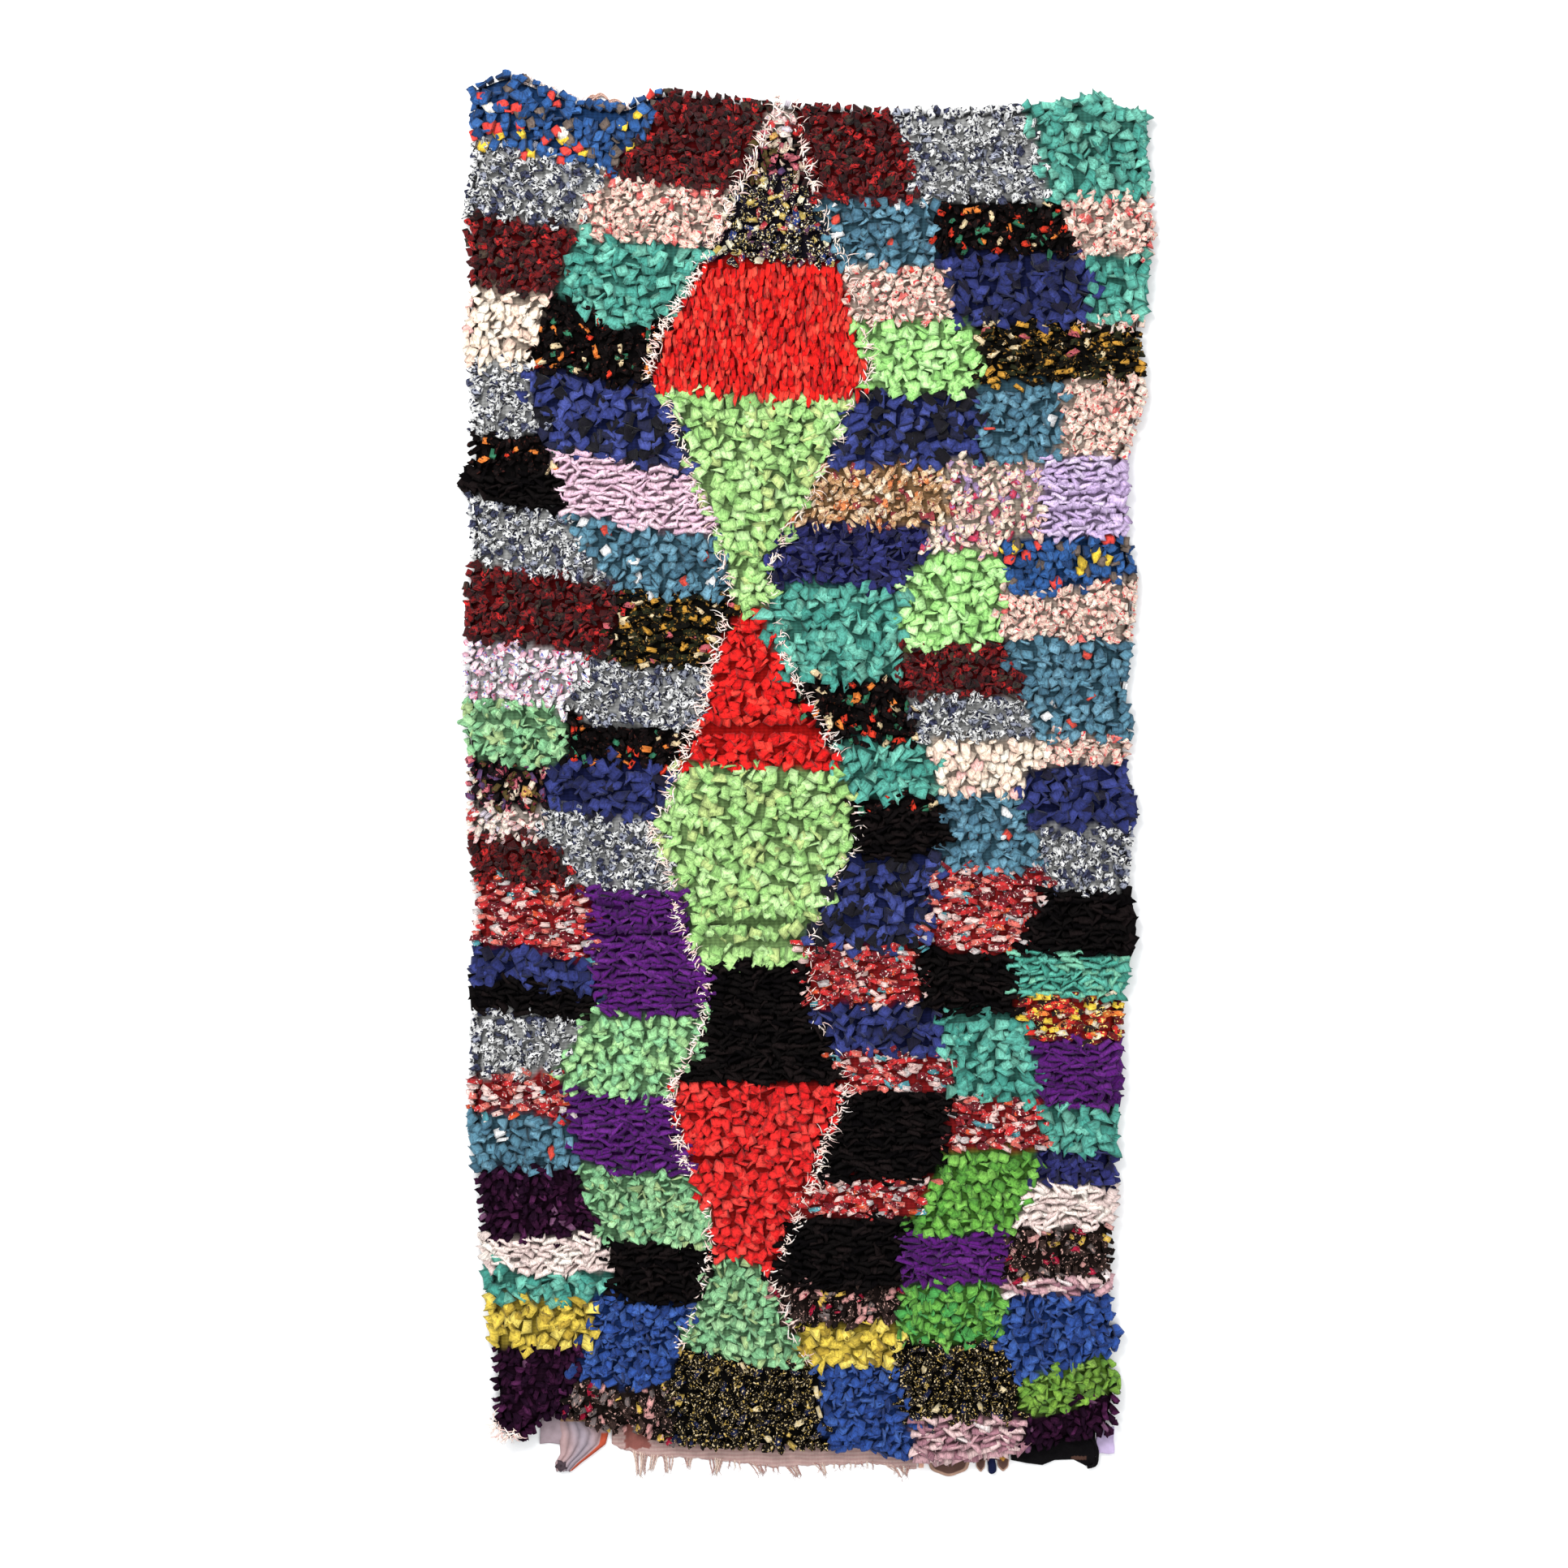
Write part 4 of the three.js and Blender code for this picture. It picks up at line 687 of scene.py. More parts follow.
def tuft_points(t, sides, rng):
    """The points of every rag in metres: rag, ring, side, xyz."""
    n = len(t.height)
    s = STATIONS[None, :]
    reach, height, crest = (value[:, None] for value in (t.reach, t.height, t.crest))
    z = height * (1 - ((s - crest) / crest) ** 2)
    along = reach * BEND * np.maximum(s, 0.05) ** (BEND - 1)
    rise = 2 * height * (crest - s) / crest ** 2
    size = np.hypot(along, rise)
    level = 0 * t.heading
    ahead = np.stack([np.cos(t.heading), np.sin(t.heading), level], axis=1)[:, None]
    side = np.stack([-np.sin(t.heading), np.cos(t.heading), level], axis=1)[:, None]
    broad = UP * (along / size)[..., None] - ahead * (rise / size)[..., None]
    turn = (t.twist[:, None] * (0.4 + 0.6 * s))[..., None]
    wide = side * np.cos(turn) + broad * np.sin(turn)
    deep = broad * np.cos(turn) - side * np.sin(turn)
    across, through = section(sides)
    widths = np.tile(WIDTHS, (n, 1))
    widths[:, -1] = t.tip
    a = 0.5 * t.width[:, None, None] * widths[..., None] * across
    fold = 0.12 * np.cos(3 * np.pi * across) * np.sign(through)
    c = t.thick[:, None, None] * (0.5 * THICKNESSES[None, :, None] * through - fold)
    phase = rng.uniform(0, 2 * np.pi, (n, 1, 1))
    ripple = t.wave[:, None, None] * np.sin(2.2 * np.pi * across + phase)
    ripple = (ripple + rng.normal(0, 0.35, (n, 1, 1)) * a) * s[..., None]
    root = np.concatenate([t.root / MM, np.full((n, 1), ROOT_HEIGHT)], axis=1)[:, None]
    centre = root + ahead * (reach * s ** BEND)[..., None] + UP * z[..., None]
    points = centre[:, :, None] + wide[:, :, None] * a[..., None] + deep[:, :, None] * c[..., None]
    points = points + ahead[:, :, None] * ripple[..., None]
    points = points + rng.normal(0, RAG_NOISE, points.shape) * s[:, :, None, None]
    points[..., 2] = np.maximum(points[..., 2], 1.2 + 2.0 * s[..., None])
    return points * MM


def tuft_colours(cloth, n, sides, rng):
    """A colour for each point: the rag's own, with painted shade at its root, its cut tip and its edges
    and a painted highlight on its top face.
    """
    shades = np.array(cloth.colours, float)
    share = shades[:, 3]
    pick = rng.choice(len(shades), n, p=share / share.sum())
    base = linear(shades[:, :3])[pick] * rng.uniform(0.88, 1.12, (n, 1))
    # Ridge cloths get a milder painted shade, the rest a stronger one that is darker underneath and
    # brighter on top
    soft = cloth.style == "ridge"
    ring_shades = SOFT_RING_SHADES if soft else RING_SHADES
    edge = np.interp(section(sides)[1], EDGE_PLACES, SOFT_EDGE_SHADES if soft else EDGE_SHADES)
    value = ring_shades[:, None] * edge
    return np.clip(base[:, None, None, :] * value[None, ..., None], 0, 1)


def rag_topology(sides, rings):
    """The faces of one rag as loops of point numbers, with their places on its own chart."""
    loops, totals, chart = [], [], []
    for r in range(rings - 1):
        for k in range(sides):
            for ring, step in ((r, 0), (r, 1), (r + 1, 1), (r + 1, 0)):
                loops.append(ring * sides + (k + step) % sides)
                chart.append(((k + step) / sides, 0.8 * ring / (rings - 1)))
            totals.append(4)
    for ring, order, middle in ((rings - 1, 1, 0.25), (0, -1, 0.75)):
        for k in range(sides)[::order]:
            x, y = pointing(2 * math.pi * k / sides)
            loops.append(ring * sides + k)
            chart.append((middle + 0.09 * x, 0.91 + 0.08 * y))
        totals.append(sides)
    return np.array(loops), np.array(totals), np.array(chart)


def mesh_from(name, points, loops, totals, smooth):
    """A mesh from its points, the point numbers of its faces in turn, and their counts."""
    mesh = bpy.data.meshes.new(name)
    mesh.vertices.add(len(points))
    mesh.loops.add(len(loops))
    mesh.polygons.add(len(totals))
    starts = np.concatenate([[0], np.cumsum(totals)[:-1]])
    for items, key, values, kind in (
        (mesh.vertices, "co", points, np.float32),
        (mesh.loops, "vertex_index", loops, np.int32),
        (mesh.polygons, "loop_start", starts, np.int32),
        (mesh.polygons, "loop_total", totals, np.int32),
        (mesh.polygons, "use_smooth", np.full(len(totals), smooth), bool),
    ):
        items.foreach_set(key, np.ascontiguousarray(values, kind).ravel())
    mesh.update(calc_edges=True)
    mesh.validate()
    return mesh


def add_uv(mesh, name, uv):
    layer = mesh.uv_layers.new(name=name)
    layer.data.foreach_set("uv", np.ascontiguousarray(uv, np.float32).ravel())


def add_tint(mesh, colours):
    """Gives each point its colour, for the material to read."""
    layer = mesh.attributes.new("tint", "FLOAT_COLOR", "POINT")
    alpha = np.ones((len(colours), 1))
    layer.data.foreach_set("color", np.hstack([colours, alpha]).astype(np.float32).ravel())


def show(name, mesh, material, nodes):
    """Puts a piece into the scene, in place of the nodes that it replaces."""
    piece = bpy.data.objects.new(name, mesh)
    bpy.context.scene.collection.objects.link(piece)
    mesh.materials.append(material)
    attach(piece, "root")
    if nodes:
        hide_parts(*nodes)
    return piece


class Graph:
    """A short way to write a material's nodes."""

    def __init__(self, name):
        self.material = bpy.data.materials.new(name)
        self.material.use_nodes = True
        self.nodes = self.material.node_tree.nodes
        self.links = self.material.node_tree.links
        self.shader = self.nodes["Principled BSDF"]

    def add(self, kind, inputs=None, **settings):
        node = self.nodes.new("ShaderNode" + kind)
        for key, value in settings.items():
            setattr(node, key, value)
        self.fill(node, inputs or {})
        return node

    def fill(self, node, inputs):
        for key, value in inputs.items():
            if isinstance(value, bpy.types.NodeSocket):
                self.links.new(value, node.inputs[key])
            else:
                node.inputs[key].default_value = value

    def finish(self, inputs):
        self.fill(self.shader, inputs)
        return self.material

    def noise(self, place, scale, detail, **inputs):
        node = self.add("TexNoise", {"Vector": place, "Scale": scale, "Detail": detail, **inputs})
        return node.outputs["Fac"]

    def bands(self, place, scale, way, **inputs):
        inputs = {"Vector": place, "Scale": scale, **inputs}
        return self.add("TexWave", inputs, wave_type="BANDS", bands_direction=way)

    def blend(self, factor, a, b, kind="MIX"):
        node = self.add("MixRGB", {"Fac": factor, "Color1": a, "Color2": b}, blend_type=kind)
        return node.outputs["Color"]

    def stops(self, socket, *stops):
        node = self.add("ValToRGB", {"Fac": socket})
        ramp = node.color_ramp
        while len(ramp.elements) < len(stops):
            ramp.elements.new(0.5)
        for element, (place, grey) in zip(ramp.elements, stops):
            element.position = place
            element.color = (grey, grey, grey, 1)
        return node.outputs["Color"]

    def bump(self, height, distance, strength, **inputs):
        inputs = {"Height": height, "Distance": distance, "Strength": strength, **inputs}
        return self.add("Bump", inputs).outputs["Normal"]


def rgba(colour):
    return (*linear(colour), 1.0)


def rag_material(name, cloth):
    """Cut rag: its own colour, a print if it has one, knit ribs, and small creases as bump with painted
    shade in them and a painted highlight on their ridges.
    """
    g = Graph(name)
    colour = g.add("Attribute", attribute_name="tint").outputs["Color"]
    place = g.add("UVMap", uv_map="Rag").outputs["UV"]
    if cloth.prints:
        first, second, size, share = cloth.prints
        scale = 10.0 / size
        threshold = 0.36 + 0.28 * share
        spots = g.noise(place, scale, 2.0)
        mask = g.stops(spots, (threshold, 1), (threshold + 0.04, 0))
        which = g.stops(g.noise(place, 0.6 * scale, 1.0), (0.48, 0), (0.52, 1))
        colour = g.blend(mask, colour, g.blend(which, rgba(first), rgba(second)))
    # The crease noise bumps the rag and also darkens its colour in the creases as painted shade, with a
    # painted highlight up to 1.05 on the ridges
    length = g.add("Mapping", {"Vector": place, "Scale": (7.0, 1.5, 1.0)}).outputs["Vector"]
    folds = g.noise(length, 1.0, 2.0, Distortion=0.7)
    wear_and_crease_shade = g.stops(folds, (0.36, 0.60), (0.54, 1.05))
    ribs = g.bands(place, 6.0, "X", Distortion=1.2, Detail=1.0).outputs["Fac"]
    normal = g.bump(ribs, 0.00015, 0.5)
    dark = max(cloth.colours[0][:3]) < DARK_CLOTH
    return g.finish({
        "Base Color": g.blend(1.0, colour, wear_and_crease_shade, "MULTIPLY"),
        "Normal": g.bump(folds, 0.0016, 0.8, Normal=normal),
        "Roughness": 0.92,
        "Sheen Weight": 0.0 if dark else 0.10,
        "Sheen Roughness": 0.5,
        "Specular IOR Level": 0.04 if dark else 0.15,
    })


def weave_material(name):
    """Plain weave: its own colours, with painted shade between the threads, and the threads as bump."""
    woven = WOVEN[name]
    g = Graph(name)
    tint = g.add("Attribute", attribute_name="tint").outputs["Color"]
    place = g.add("TexCoord").outputs["Object"]
    wefts = g.bands(place, woven.wefts, "Y", Distortion=1.5, Detail=1.0).outputs["Color"]
    warps = g.bands(place, woven.warps, "X", Distortion=1.0).outputs["Color"]
    weave = g.blend(0.5, wefts, warps)
    # Painted shade between the threads, down to the piece's gap value
    shade = g.stops(weave, (0.2, woven.gap), (0.8, 1.0))
    wear_and_crease_shade = g.stops(g.noise(place, 90.0, 3.0), (0.3, 0.5 + 0.5 * woven.gap), (0.7, 1.06))
    return g.finish({
        "Base Color": g.blend(1.0, g.blend(1.0, tint, shade, "MULTIPLY"), wear_and_crease_shade, "MULTIPLY"),
        "Normal": g.bump(weave, woven.depth, 0.8),
        "Roughness": 0.95,
        "Specular IOR Level": 0.06,
    })


def cell_chart(chart, cells, count, across_factor=1.0):
    """Moves charts from 0 to 1 each into their own cell of a square of cells."""
    across = math.ceil(math.sqrt(count * across_factor))
    down = math.ceil(count / across)
    corner = np.stack([cells % across, cells // across], axis=-1)
    return (corner + 0.04 + 0.92 * chart) / np.array([across, down])


def pile_piece(name, cloth, points, depth, rng):
    """All the rags of one cloth as one mesh."""
    style = STYLES[cloth.style]
    n = len(points)
    t = make_tufts(style, points, depth, rng)
    shape = tuft_points(t, style.sides, rng)
    colours = tuft_colours(cloth, n, style.sides, rng)
    loops, totals, chart = rag_topology(style.sides, len(STATIONS))
    per_rag = style.sides * len(STATIONS)
    all_loops = (loops[None, :] + per_rag * np.arange(n)[:, None]).ravel()
    smooth = cloth.style == "ridge"
    mesh = mesh_from(name, shape.reshape(-1, 3), all_loops, np.tile(totals, n), smooth)
    size_cm = np.stack([2.1 * t.width + t.thick, 1.25 * t.height + 0.6 * t.reach], axis=1) / 10
    offset = rng.uniform(0, 90, (n, 2))
    rag = chart[None] * size_cm[:, None] + offset[:, None]
    add_uv(mesh, "Rag", rag.reshape(-1, 2))
    cells = np.arange(n)[:, None]
    add_uv(mesh, "OFBake", cell_chart(chart[None], cells, n, 1.6).reshape(-1, 2))
    add_tint(mesh, colours.reshape(-1, 3))
    return show(name, mesh, rag_material(name, cloth), ["pile_rug"])


def make_pile(rng):
    """Plants every cloth's rags and returns the pieces."""
    places = {}
    for name, style in STYLES.items():
        points = knots(style, rng)
        inner = points[polygon_depth(points, RIM) > RIM_BAND]
        points = np.vstack([inner, rim_knots(rng)])
        wander = 0.35 * np.sin(points * 1.9 + 3 * np.sin(points[:, ::-1] * 0.7))
        cloths = PATCH_CLOTHS[patch_at(points + wander)]
        places[name] = (points, polygon_depth(points, RIM), cloths)
    pieces = []
    for name, cloth in CLOTHS.items():
        points, depth, cloths = places[cloth.style]
        mine = cloths == name
        pieces.append(pile_piece("pile_" + name, cloth, points[mine], depth[mine], rng))
    return pieces


# A closed piece before it becomes a mesh: points, face loops, loop counts, chart, colours.
Shell = namedtuple("Shell", "points loops totals chart colours")


def slab_shell(x, y, top, colour, bottom=FLOOR_GAP, under=None):
    """A closed cloth from grids of places in centimetres and heights in millimetres."""
    rows, columns = x.shape
    n = x.size

    def layer(height):
        return np.stack([x, y, np.broadcast_to(height, x.shape)], axis=-1).reshape(-1, 3) * CM_MM

    points = np.vstack([layer(top), layer(bottom)])
    index = np.arange(n).reshape(rows, columns)
    quads = np.stack([index[:-1, :-1], index[:-1, 1:], index[1:, 1:], index[1:, :-1]], axis=-1)
    quads = quads.reshape(-1, 4)
    rim = np.concatenate([index[0, :-1], index[:-1, -1], index[-1, :0:-1], index[:0:-1, 0]])
    after = np.roll(rim, -1)
    walls = np.stack([rim + n, after + n, after, rim], axis=1)
    faces = np.vstack([quads, quads[:, ::-1] + n, walls])
    v, u = np.divmod(faces % n, columns)
    chart = np.stack([0.48 * u / (columns - 1), 0.98 * v / (rows - 1)], axis=-1) + 0.01
    chart[len(quads):, :, 0] += 0.5
    first = points[faces[0]]
    if np.cross(first[1] - first[0], first[2] - first[1])[2] < 0:
        faces = faces[:, ::-1]
        chart = chart[:, ::-1]
    tops = np.broadcast_to(colour, (n, 3))
    lows = tops if under is None else under
    totals = np.full(len(faces), 4)
    return Shell(points, faces.ravel(), totals, chart.reshape(-1, 2), np.vstack([tops, lows]))


def tube_shell(path, radii, colour, sides, lobes=0.0, turns=0.0):
    """A closed tube along a path in metres. Lobes and turns make it a plied cord."""
    rings = len(path)
    ahead = np.gradient(path, axis=0)
    ahead /= np.maximum(np.linalg.norm(ahead, axis=1, keepdims=True), 1e-9)
    side = np.cross(ahead, UP)
    side /= np.maximum(np.linalg.norm(side, axis=1, keepdims=True), 1e-9)
    over = np.cross(side, ahead)
    angle = 2 * np.pi * np.arange(sides) / sides
    spin = 2 * np.pi * turns * np.linspace(0, 1, rings)[:, None]
    swell = 1 + lobes * np.cos(2 * (angle[None, :] - spin))
    reach = np.broadcast_to(radii, (rings,))[:, None] * swell
    points = (
        path[:, None]
        + side[:, None] * (reach * np.cos(angle))[..., None]
        + over[:, None] * (reach * np.sin(angle))[..., None]
    )
    points[..., 2] = np.maximum(points[..., 2], 0.1 * MM)
    # Painted shade in the grooves between the plies and a painted highlight on their crests, following
    # the lobes
    shade = 1 + 0.35 * (swell - 1) / max(lobes, 1e-6)
    colours = np.clip(np.asarray(colour) * shade[..., None], 0, 1)
    return Shell(points.reshape(-1, 3), *rag_topology(sides, rings), colours.reshape(-1, 3))


def show_shells(name, shells):
    """Joins shells into one piece, each with its own cell of the baking chart."""
    count = len(shells)
    starts = np.concatenate([[0], np.cumsum([len(shell.points) for shell in shells])[:-1]])
    loops = np.concatenate([shell.loops + start for shell, start in zip(shells, starts)])
    chart = np.concatenate([
        cell_chart(shell.chart, np.array(i), count) for i, shell in enumerate(shells)
    ])
    points, totals, colours = (
        np.concatenate([getattr(shell, part) for shell in shells])
        for part in ("points", "totals", "colours")
    )
    mesh = mesh_from(name, points, loops, totals, True)
    add_uv(mesh, "OFBake", chart)
    add_tint(mesh, colours)
    return show(name, mesh, weave_material(name), WOVEN[name].nodes)


def make_ground(rng):
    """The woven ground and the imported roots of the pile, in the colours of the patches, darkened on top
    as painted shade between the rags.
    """
    u, v = grid(*BED_GRID)

    def across(y):
        return mix(table(LEFT_EDGE, y) + BED_INSET, table(RIGHT_EDGE, y) - BED_INSET, u)

    rough_x = across(mix(-107.5, 107.5, v))
    y = mix(table(LOWER_EDGE, rough_x) + BED_INSET, table(TOP_EDGE, rough_x) - BED_INSET, v)
    x = across(y)
    plan = np.stack([x.ravel(), y.ravel()], axis=1)
    depth = polygon_depth(plan, RIM).reshape(x.shape)
    rib = np.abs(np.sin(np.pi * (y + row_sag(plan).reshape(x.shape)) / KNOT_ROW))
    knot = np.abs(np.sin(np.pi * x / KNOT_WIDTH + np.floor(y / KNOT_ROW)))
    packed = np.clip((depth - 0.9) / 1.3, 0, 1)
    full = pile_height(plan).reshape(x.shape) - BED_DROP + rng.uniform(-1.0, 1.0, x.shape)
    own = linear([CLOTHS[c].colours[0][:3] for c in PATCH_CLOTHS[patch_at(plan)]])
    weft = linear(TONES["weft"]) * rng.uniform(0.8, 1.1, (len(plan), 1))
    under = mix(weft, own, 0.75 * as_column(rib * knot))
    bottom = 0.9 * (1 - rib * knot)
    top = mix(WEAVE_THICKNESS, full, packed)
    # The top of the bed is its patch's colour times BED_SHADE: painted shade where it shows between the
    # rags
    return show_shells("ground_weave", [slab_shell(x, y, top, BED_SHADE * own, bottom, under)])


def make_threads(rng):
    """Pale warp ends that fray out along the seams of the middle shapes."""
    shells = []
    for stops, per_cm, out in FRAYED_SEAMS:
        stops = np.array(stops, float)
        total = distances(stops)[-1]
        for at in np.sort(rng.uniform(0, total, int(total * per_cm * FRAY_DENSITY))):
            start = point_at(stops, at) + rng.normal(0, 0.35, 2)
            heading = math.radians(out + rng.normal(0, 42))
            length = rng.uniform(0.7, 2.3)
            bend = rng.normal(0, 0.5)
            path = []
            for t in np.linspace(0, 1, 5):
                place = start + length * t * pointing(heading + bend * t)
                lift = 20.0 + 7.0 * math.sin(math.pi * min(t + 0.18, 1.0) * 0.8)
                path.append((*place, lift))
            radius = rng.uniform(0.6, 1.5) * np.array([1.0, 1.1, 1.0, 0.7, 0.25]) * MM
            pale = linear(FRAY_COLOURS[rng.integers(len(FRAY_COLOURS))])
            shells.append(tube_shell(np.array(path) * CM_MM, radius, pale, 3))
    return show_shells("frayed_warps", shells)


def make_end_web():
    """The flat-woven end below the pile, with its ribs."""
    u, v = grid(190, 20)
    x = mix(WEB_EDGE[0][0], WEB_EDGE[-1][0], u)
    low = table(WEB_EDGE, x) - 0.12 * np.abs(np.sin(9 * x)) - 0.10 * np.sin(2.3 * x)
    y = mix(low, table(LOWER_EDGE, x) + 1.1, v)
    ribs = 0.35 * np.sin(2 * np.pi * y / WEB_RIB + 0.6 * np.sin(x / 2))
    top = 2.5 + ribs + 0.5 * np.sin(x / 1.7 + 2 * y) - 1.1 * (v < 0.03)
    stripe = wave(np.pi * y / WEB_RIB + 0.8 * np.sin(x))
    colour = mix(linear(TONES["web"]), linear(TONES["rosy web"]), 0.7 * as_column(stripe))
    ragged = 0.25 * np.sin(5 * y) + 0.2 * np.sin(3.1 * x)
    patch = (np.abs(x + 26.8 + ragged) < 2.0) & (y > -109.1 + ragged)
    colour = np.where(as_column(patch), linear(TONES["web patch"]), colour)
    return show_shells("web_cloth", [slab_shell(x, y, top, colour)])


def plied_cord(root, tip, radius, turns, rng):
    """A cord that lies on the floor, with four hairs of fuzz near its tip."""
    middle = mix(np.array(root), np.array(tip), 0.5) + rng.normal(0, 0.12, 2)
    path = curve_points([root, middle, tip], 12) * CM
    lie = np.full((12, 1), radius * MM * 0.95)
    thin = mix(1.0, 0.55, np.linspace(0, 1, 12)) * radius * MM
    shade = mix(linear(TONES["cord"]), linear(TONES["dusky cord"]), rng.random())
    shells = [tube_shell(np.hstack([path, lie]), thin, shade, 8, 0.28, turns)]
    for _ in range(4):
        start = path[-rng.integers(1, 5)]
        end = start + np.array([rng.normal(0, 0.28), -rng.uniform(0.2, 0.8)]) * CM
        bow = mix(start, end, 0.5) + rng.normal(0, 0.0006, 2)
        hair = curve_points([start, bow, end], 5)
        hair = np.hstack([hair, np.linspace(0.0014, 0.0004, 5)[:, None]])
        shells.append(tube_shell(hair, 0.28 * MM, mix(shade, 1.0, 0.35), 4))
    return shells


def make_fringe(rng):
    """Bunches of warp ends: plied cords with fuzz at their tips, level on the floor."""
    shells = []
    for start, end, tip_x, tip_y, strands in FRINGE:
        for k in range(strands):
            root_x = mix(start, end, (k + 0.5) / strands)
            spread = 0.22 * (k - (strands - 1) / 2)
            tip = (tip_x + spread * rng.uniform(0.6, 1.3), tip_y + rng.uniform(0, 1.0))
            root = (root_x, table(WEB_EDGE, root_x) + CORD_ROOT)
            shells += plied_cord(root, tip, rng.uniform(1.1, 1.6), rng.uniform(2.2, 3.4), rng)
    for start, end, ends, reach in FRAYS:
        for k in range(ends):
            root_x = mix(start, end, (k + 0.5) / ends)
            base = table(WEB_EDGE, root_x)
            tip = (root_x + rng.uniform(-0.2, 0.2), base - reach * rng.uniform(0.07, 0.12))
            root = (root_x, base + CORD_ROOT)
            shells += plied_cord(root, tip, rng.uniform(1.2, 1.6), 1.2, rng)
    return show_shells("end_fringe", shells)


def make_grey_rag():
    """The grey rag at the lower left: a flat corner and a gathered tail."""
    pale = linear(TONES["grey"])
    rosy = linear(TONES["rosy grey"])
    u, v = grid(26, 24)
    x = mix(mix(-42.4, -42.2, v), mix(-37.6, -38.6, v), u)
    y = mix(-108.2 + 0.15 * np.sin(5 * u), table(LOWER_EDGE, x) + TUCK, v)
    fold = 0.5 * np.sin(3.3 * x + 1.5 * y) + 0.4 * np.sin(2.1 * y)
    flap = slab_shell(x, y, 2.6 + fold, mix(pale, rosy, 0.3), 0.2)
    u, v = grid(61, 34)
    y = mix(-112.5, -103.9, v)
    left, right, crest = (table(TAIL_ROWS, y, k) for k in (1, 2, 3))
    x = mix(left, right, u) + 0.25 * np.sin(3 * v) * (1 - v)
    pleat = np.abs(np.sin(np.pi * (5 * u + 0.12 * np.sin(6 * v)))) ** 0.7
    side = np.sin(np.pi * np.clip(u, 0.02, 0.98)) ** 0.35
    top = 0.9 + (crest - 0.9) * side * mix(0.55, 1.0, pleat) + 0.25 * np.sin(31 * u + 7 * v)
    tone = mix(pale, rosy, as_column(wave(7 * u + 2 * v)))
    tone = np.where(as_column(v > 0.93), linear(TONES["tan"]), tone)
    tone = np.where(as_column((u > 0.86) & (v < 0.72)), linear(TONES["red edge"]), tone)
    # Painted shade in the hollows of the pleats and a painted highlight on their crests
    shade = mix(0.62, 1.08, as_column(pleat))
    tail = slab_shell(x, y, top, np.clip(tone * shade, 0, 1))
    return show_shells("grey_rag_cloth", [flap, tail])


def make_grey_knot(rng):
    """The dark knot that ties the grey rag's tail, and the hairs below it."""
    shells = []
    for k in range(5):
        swing = 2 * math.pi * k / 5
        centre = np.array([-38.9, -111.6]) + 0.28 * pointing(swing)
        ahead = 0.85 * pointing(swing + rng.uniform(0.6, 1.3))
        stops = [(*(centre - ahead), 3.0), (*centre, rng.uniform(4.0, 8.5)),
                 (*(centre + ahead), 3.0)]
        radius = np.array([1.6, 2.8, 3.6, 4.0, 4.1, 4.0, 3.4, 2.6, 1.4]) * MM
        dark = linear(TONES["grey knot"]) * rng.uniform(0.7, 1.2)
        shells.append(tube_shell(curve_points(stops, 9) * CM_MM, radius, dark, 9, 0.12, 0.4))
    for k in range(9):
        start = np.array([-39.4 + 0.25 * k, -112.2])
        end = start + np.array([rng.normal(0, 0.2), -rng.uniform(0.2, 0.6)])
        path = curve_points([(*start, 2.4), (*end, 0.6)], 4) * CM_MM
        shells.append(tube_shell(path, 0.5 * MM, linear(TONES["knot hair"]), 4))
    return show_shells("grey_rag_knot", shells)


def make_black_rag(rng):
    """The black rag along the lower right edge, with long soft folds and a turned-down end."""
    u, v = grid(90, 26)
    x = mix(BLACK_RAG[0][0], BLACK_RAG[-1][0], u)
    low, crest = (table(BLACK_RAG, x, k) for k in (1, 2))
    y = mix(low, table(LOWER_EDGE, x) + TUCK, v)
    body = np.interp(v, [0, 0.05, 0.25, 0.55, 0.8, 1.0], [0.25, 0.75, 0.9, 1.0, 0.75, 0.5])
    folds = 0.9 * np.sin(2.6 * y + 1.2 * np.sin(0.9 * x)) + 0.6 * np.sin(1.7 * x + 2 * y)
    top = crest * body + folds * np.sin(np.pi * np.clip(v, 0.02, 0.98))
    colour = linear(TONES["black"])
    tones = colour * rng.uniform(0.8, 1.2, (x.size, 1))
    bit = (x > 43.0) & (x < 45.4) & (np.abs(y + 110.4) < 0.3)
    tones = np.where(as_column(bit), linear(TONES["brown bit"]), tones)
    rag = slab_shell(x, y, np.maximum(top, 1.2), tones)
    hook = tube_shell(curve_points(BLACK_HOOK, 16) * CM_MM, 3.1 * MM, colour, 10, 0.15, 1.5)
    return show_shells("black_rag_cloth", [rag, hook])


def make_lilac_tab():
    """The lilac rag end, lifted a little at its tip."""
    u, v = grid(22, 24)
    x = mix(47.15, 49.95, u) + 0.06 * np.sin(9 * v)
    y = mix(-109.65 + 0.08 * np.sin(7 * u), table(LOWER_EDGE, x) + TUCK, v)
    lift = 3.6 * (1 - v) ** 3 + 0.3 * np.sin(5 * u + 3 * v)
    colour = linear(TONES["lilac"]) * mix(0.9, 1.05, as_column(u))
    return show_shells("lilac_tab_cloth", [slab_shell(x, y, 1.9 + lift, colour, 0.3 + 0.75 * lift)])


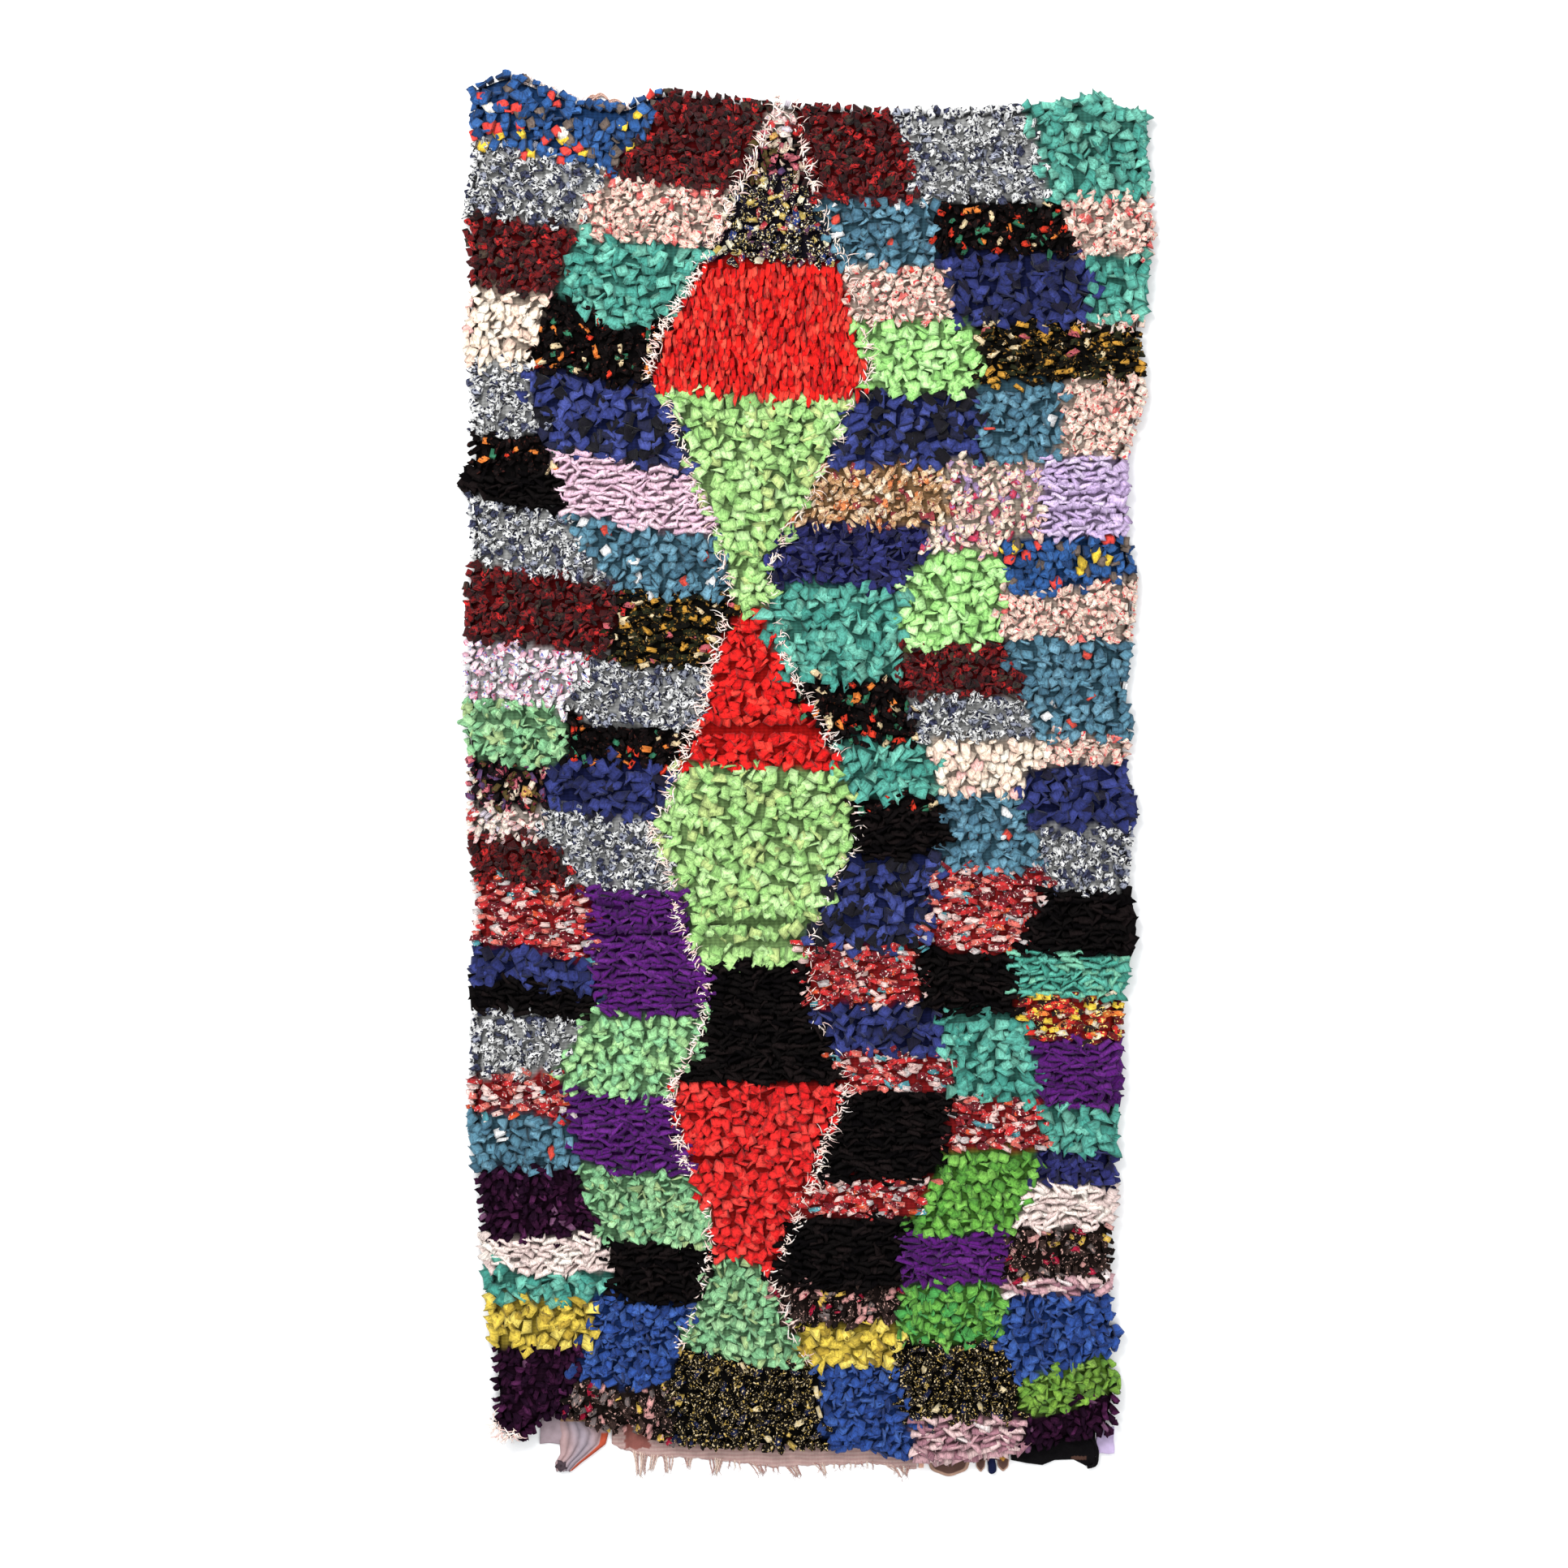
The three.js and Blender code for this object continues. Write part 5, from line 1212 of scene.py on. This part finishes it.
def make_brown_rag(rng):
    """Brown cloth under the lower edge: its strip, half-round ends and folded tabs."""
    dark = linear(TONES["brown"])
    u, v = grid(60, 8)
    x = mix(18.8, 33.0, u)
    y = mix(BROWN_FOLD - 0.15, table(LOWER_EDGE, x) + 1.0, v)
    shells = [slab_shell(x, y, 2.4 + 0.4 * np.sin(1.9 * x) * v, dark)]
    for centre, reach_x, reach_y, crest in BROWN_LOBES:
        ring, turn = np.meshgrid(np.linspace(0.04, 1, 16), np.linspace(math.pi, 2 * math.pi, 34))
        wavy = 1 + 0.03 * np.sin(7 * turn)
        x = centre + reach_x * ring * wavy * np.cos(turn)
        y = BROWN_FOLD + reach_y * ring * wavy * np.sin(turn)
        dome = 1.4 + (crest - 1.0) * np.sqrt(np.clip(1 - (ring - 0.55) ** 2 * 4.2, 0.02, 1))
        folds = 0.25 * np.sin(11 * turn + 3 * ring)
        tones = np.where(as_column(ring > 0.86), linear(TONES["brown rim"]), dark)
        shells.append(slab_shell(x, y, dome + folds, tones))
    for left, right, low, tone in SIDE_TABS:
        u, v = grid(10, 12)
        x = mix(left, right, u) + 0.05 * np.sin(6 * v)
        y = mix(low, BROWN_FOLD + 0.7, v)
        top = 3.4 + 0.4 * np.sin(4 * u + 2 * v)
        shells.append(slab_shell(x, y, top, linear(tone) * rng.uniform(0.95, 1.05), 0.3))
    return show_shells("brown_rag_cloth", shells)


def make_navy_end():
    """The navy rag end that lies over the brown rag, folded to a soft arch."""
    u, v = grid(16, 22)
    half = 0.68 * np.interp(v, [0, 0.12, 0.5, 1.0], [0.5, 0.95, 1.0, 0.8])
    x = 30.3 + half * (2 * u - 1) + 0.08 * np.sin(6 * v)
    y = mix(-112.95, -109.9, v)
    arch = np.sin(np.pi * np.clip(u, 0.03, 0.97)) ** 0.5
    rise = np.interp(v, [0, 0.1, 0.5, 1.0], [0.5, 0.9, 1.0, 0.75])
    top = 1.0 + 7.6 * arch * rise + 0.4 * np.sin(9 * v + 5 * u)
    return show_shells("navy_end_cloth", [slab_shell(x, y, top, linear(TONES["navy"]))])


def make_top_loops(rng):
    """Warp loops and fuzz at the upper left edge, behind the first row of rags."""
    shells = []
    t = np.linspace(0, 1, 16)
    for start, end, rise in TOP_LOOPS:
        for layer in range(2):
            x = mix(start, end, t) + 0.15 * layer
            y = table(TOP_EDGE, x) - 0.9 + (rise - 3 * layer) / 10 * np.sin(np.pi * t)
            z = np.full_like(t, 0.19 + 0.12 * layer)
            tone = np.clip(linear(TONES["loop"]) * rng.uniform(0.9, 1.15), 0, 1)
            path = np.column_stack([x, y, z]) * CM
            shells.append(tube_shell(path, 1.6 * MM, tone, 8, 0.28, 4))
    for _ in range(90):
        x = rng.uniform(-46, -28)
        base = np.array([x, table(TOP_EDGE, x) - 1.0])
        heading = math.radians(rng.normal(70, 28))
        ahead = rng.uniform(0.9, 1.9) * pointing(heading)
        bow = 0.5 * ahead + rng.normal(0, 0.15, 2)
        stops = [(*base, 1.0), (*(base + bow), 1.1), (*(base + ahead), 0.5)]
        pale = linear(FRAY_COLOURS[rng.integers(len(FRAY_COLOURS))])
        radius = rng.uniform(0.35, 0.8) * MM
        shells.append(tube_shell(curve_points(stops, 5) * CM, radius, pale, 4))
    return show_shells("top_loop_yarns", shells)


def make_floor(scene):
    """A plain pale floor."""
    reach = FLOOR_REACH
    corners = [(-reach, -reach, 0), (reach, -reach, 0), (reach, reach, 0), (-reach, reach, 0)]
    mesh = bpy.data.meshes.new("floor")
    mesh.from_pydata(corners, [], [(0, 1, 2, 3)])
    floor = bpy.data.objects.new("floor", mesh)
    scene.collection.objects.link(floor)
    pale = {"Base Color": (0.94, 0.94, 0.94, 1), "Roughness": 0.9, "Specular IOR Level": 0.0}
    mesh.materials.append(Graph("pale_floor").finish(pale))


def make_lights(scene):
    """A soft sky and two wide lights that face the rug's middle."""
    world = bpy.data.worlds.new("soft_day")
    scene.world = world
    world.use_nodes = True
    sky = world.node_tree.nodes["Background"]
    sky.inputs["Color"].default_value = (0.96, 0.98, 1.0, 1)
    sky.inputs["Strength"].default_value = 0.80
    for name, place, side, power in LIGHTS:
        light = bpy.data.lights.new(name, "AREA")
        light.size = side
        light.energy = power
        lamp = bpy.data.objects.new(name, light)
        lamp.location = place
        aim = -np.array(place)
        tilt = math.acos(-aim[2] / np.linalg.norm(aim))
        lamp.rotation_euler = (tilt, 0, math.atan2(aim[1], aim[0]) - math.pi / 2)
        scene.collection.objects.link(lamp)


def make_camera(scene):
    """The camera straight above the rug, with the photo's width at the top of the pile."""
    camera_data = bpy.data.cameras.new("camera")
    camera_data.sensor_width = SENSOR
    camera_data.lens = SENSOR * (CAMERA_HEIGHT - PILE_TOP) / PHOTO_SIDE
    camera_data.clip_end = 50
    camera = bpy.data.objects.new("camera", camera_data)
    camera.location = (*PHOTO_CENTRE, CAMERA_HEIGHT)
    scene.collection.objects.link(camera)
    scene.camera = camera
    scene.view_settings.view_transform = "Standard"


make_floor(bpy.context.scene)
make_lights(bpy.context.scene)
make_camera(bpy.context.scene)

pile = make_pile(np.random.default_rng(SEED))
ground = make_ground(np.random.default_rng(SEED + 1))
make_threads(np.random.default_rng(SEED + 2))
end_web = make_end_web()
end_fringe = make_fringe(np.random.default_rng(SEED + 3))
grey_rag = make_grey_rag()
grey_knot = make_grey_knot(np.random.default_rng(SEED + 4))
black_rag = make_black_rag(np.random.default_rng(SEED + 5))
lilac_tab = make_lilac_tab()
brown_rag = make_brown_rag(np.random.default_rng(SEED + 6))
navy_end = make_navy_end()
make_top_loops(np.random.default_rng(SEED + 7))
